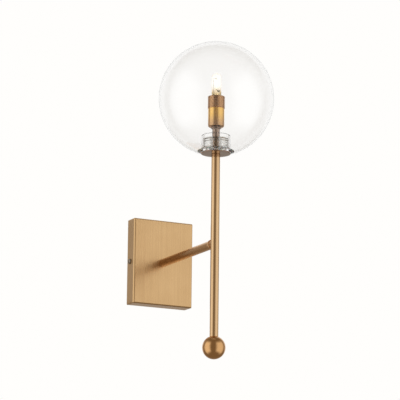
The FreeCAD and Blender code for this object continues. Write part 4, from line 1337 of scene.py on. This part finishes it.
@dataclass
class Studio:
    """The pale floor, the soft lamps, the backdrop and the camera.

    The camera's place and turn come from measured points of the photograph, set against the
    sconce's own sizes. Places are metres, and levels are shares of the picture's white.

    Args:
        camera_place: the camera's place.
        yaw: the camera's turn from +Y towards +X, degrees.
        pitch: its turn upwards, degrees.
        roll: its turn about its own line of sight, degrees.
        lens: its focal length, mm.
        sensor: its sensor's width, mm.
        clip_end: how far it sees.
        floor_z: height of the floor.
        floor_half: half the floor's width.
        backdrop_colour: the backdrop as the camera sees it.
        backdrop_level: the backdrop's level in a reflection.
        backdrop_cone: degrees about the camera's direction where that ends and where it is full.
        foot_z: the sine of the elevations over which it grows to full under the horizon.
        foot_share: its share at the first of them.
        room_colour: the room in a reflection.
        room_level: the room's level.
        fill_level: the level of the light that falls on everything.
        strip_z: the sine of the elevations where a lamp's cloth ends and where it is full.
        target: the sconce's middle.
        lamps: the lamps.
    """
    camera_place: tuple[float, float, float] = (-1.4234, -2.9992, -0.6338)
    yaw: float = 26.439
    pitch: float = 12.414
    roll: float = 0.672
    lens: float = 211.8
    sensor: float = 36.0
    clip_end: float = 100.0
    floor_z: float = -0.85
    floor_half: float = 12.0
    backdrop_colour: str = "#FFFEFC"
    backdrop_level: float = 0.9
    backdrop_cone: Span = (60.0, 28.0)
    foot_z: Span = (-0.2, 0.0)
    foot_share: float = 0.2
    room_colour: str = "#FFEBD2"
    room_level: float = 0.26
    fill_level: float = 0.32
    strip_z: Span = (0.88, 0.5)
    target: tuple[float, float, float] = (0.0, -0.13, 0.06)
    lamps: tuple[Softbox, ...] = (
        Softbox("left_softbox", azimuth=-98, elevation=8, distance=1.6, width=0.9, height=1.9,
                radiance=1.15, halo=(46.0, 8.0)),
        Softbox("right_softbox", azimuth=41, elevation=8, distance=1.8, width=1.2, height=1.9,
                radiance=1.0, halo=(56.0, 14.0)))

    def build(self) -> None:
        """Sets the whole studio."""
        self.set_camera()
        self.set_world()
        self.lay_floor()
        for lamp in self.lamps:
            lamp.build(Vector(self.target))
        bpy.context.scene.view_settings.view_transform = "Standard"

    def set_camera(self) -> None:
        """Places the camera and turns it by its yaw, pitch and roll."""
        yaw, roll = math.radians(self.yaw), math.radians(self.roll)
        ahead = heading(self.yaw, self.pitch)
        level = Vector((math.cos(yaw), -math.sin(yaw), 0))
        upwards = level.cross(ahead)
        right = level * math.cos(roll) + upwards * math.sin(roll)
        up = upwards * math.cos(roll) - level * math.sin(roll)
        camera = bpy.data.cameras.new("camera")
        camera.lens, camera.sensor_width, camera.clip_end = self.lens, self.sensor, self.clip_end
        stood = placed("camera", camera)
        turn = Matrix((right, up, -ahead)).transposed().to_4x4()
        stood.matrix_world = Matrix.Translation(self.camera_place) @ turn
        bpy.context.scene.camera = stood

    def set_world(self) -> None:
        """A pale backdrop, which camera rays and rays through glass see at one level. A reflection,
        and one that leaves through glass, sees the surroundings, and the rest gets an even fill."""
        world = bpy.data.worlds.new("studio")
        world.use_nodes = True
        tree = world.node_tree
        tree.nodes.clear()
        path = add_node(tree, "LightPath")
        bent = maths(tree, "MAXIMUM", path.outputs["Is Glossy Ray"], path.outputs["Is Transmission Ray"])
        room = linear(self.room_colour, self.room_level)
        mirrored = mixed(tree, self.surroundings(tree), room, WHITE, clamp_factor=False)
        unseen = mixed(tree, bent, linear("#FFFFFF", self.fill_level), mirrored)
        colour = mixed(tree, in_sight(tree, path), unseen, linear(self.backdrop_colour))
        sky = add_node(tree, "Background", {"Color": colour, "Strength": 1.0})
        add_node(tree, "OutputWorld", {"Surface": sky.outputs["Background"]})
        bpy.context.scene.world = world

    def surroundings(self, tree: Tree) -> Socket:
        """How far each direction goes from the dim room to white: the backdrop in a cone about the
        camera's own direction, less of it under the horizon, and the lamps' soft cloth.

        Args:
            tree: the world's node tree.

        Returns:
            The share in the direction of a ray, over 1 for a lamp brighter than white.
        """
        way = add_node(tree, "TexCoord").outputs["Generated"]
        rise = add_node(tree, "SeparateXYZ", {"Vector": way}).outputs["Z"]
        beside = vector_maths(tree, "DOT_PRODUCT", way, tuple(heading(self.yaw, self.pitch)))
        cone = fading(tree, beside, self.backdrop_cone, self.backdrop_level)
        level = maths(tree, "MULTIPLY", cone, mapped(tree, rise, self.foot_z, (self.foot_share, 1.0)))
        low = mapped(tree, maths(tree, "ABSOLUTE", rise), self.strip_z, (0.0, 1.0))
        bearing = vector_maths(tree, "NORMALIZE", vector_maths(tree, "MULTIPLY", way, (1, 1, 0)))
        for lamp in self.lamps:
            facing = vector_maths(tree, "DOT_PRODUCT", bearing, tuple(lamp.away(0)))
            cloth = maths(tree, "MULTIPLY", fading(tree, facing, lamp.halo, lamp.radiance), low)
            level = maths(tree, "MAXIMUM", level, cloth)
        return level

    def lay_floor(self) -> None:
        """A large square of pale paper."""
        half = self.floor_half
        mesh = bpy.data.meshes.new("floor")
        mesh.from_pydata([(x * half, y * half, self.floor_z) for x, y in CORNERS], [],
                         [range(len(CORNERS))])
        mesh.materials.append(FLOOR_PAPER.material())
        placed("floor", mesh)


def main() -> None:
    """Builds the studio and every sub-assembly, in order."""
    logging.basicConfig(level=logging.INFO, format="%(name)s %(message)s")
    Studio().build()
    shop = Workshop()
    for assembly in (WallCanopy(), Arm(), Stem(), GlobeSeat(), GlobeGlass(), Lampholder(),
                     CapsuleLamp()):
        assembly.build(shop)
        LOG.info("%s is built", type(assembly).__name__)


if __name__ == "__main__":
    main()
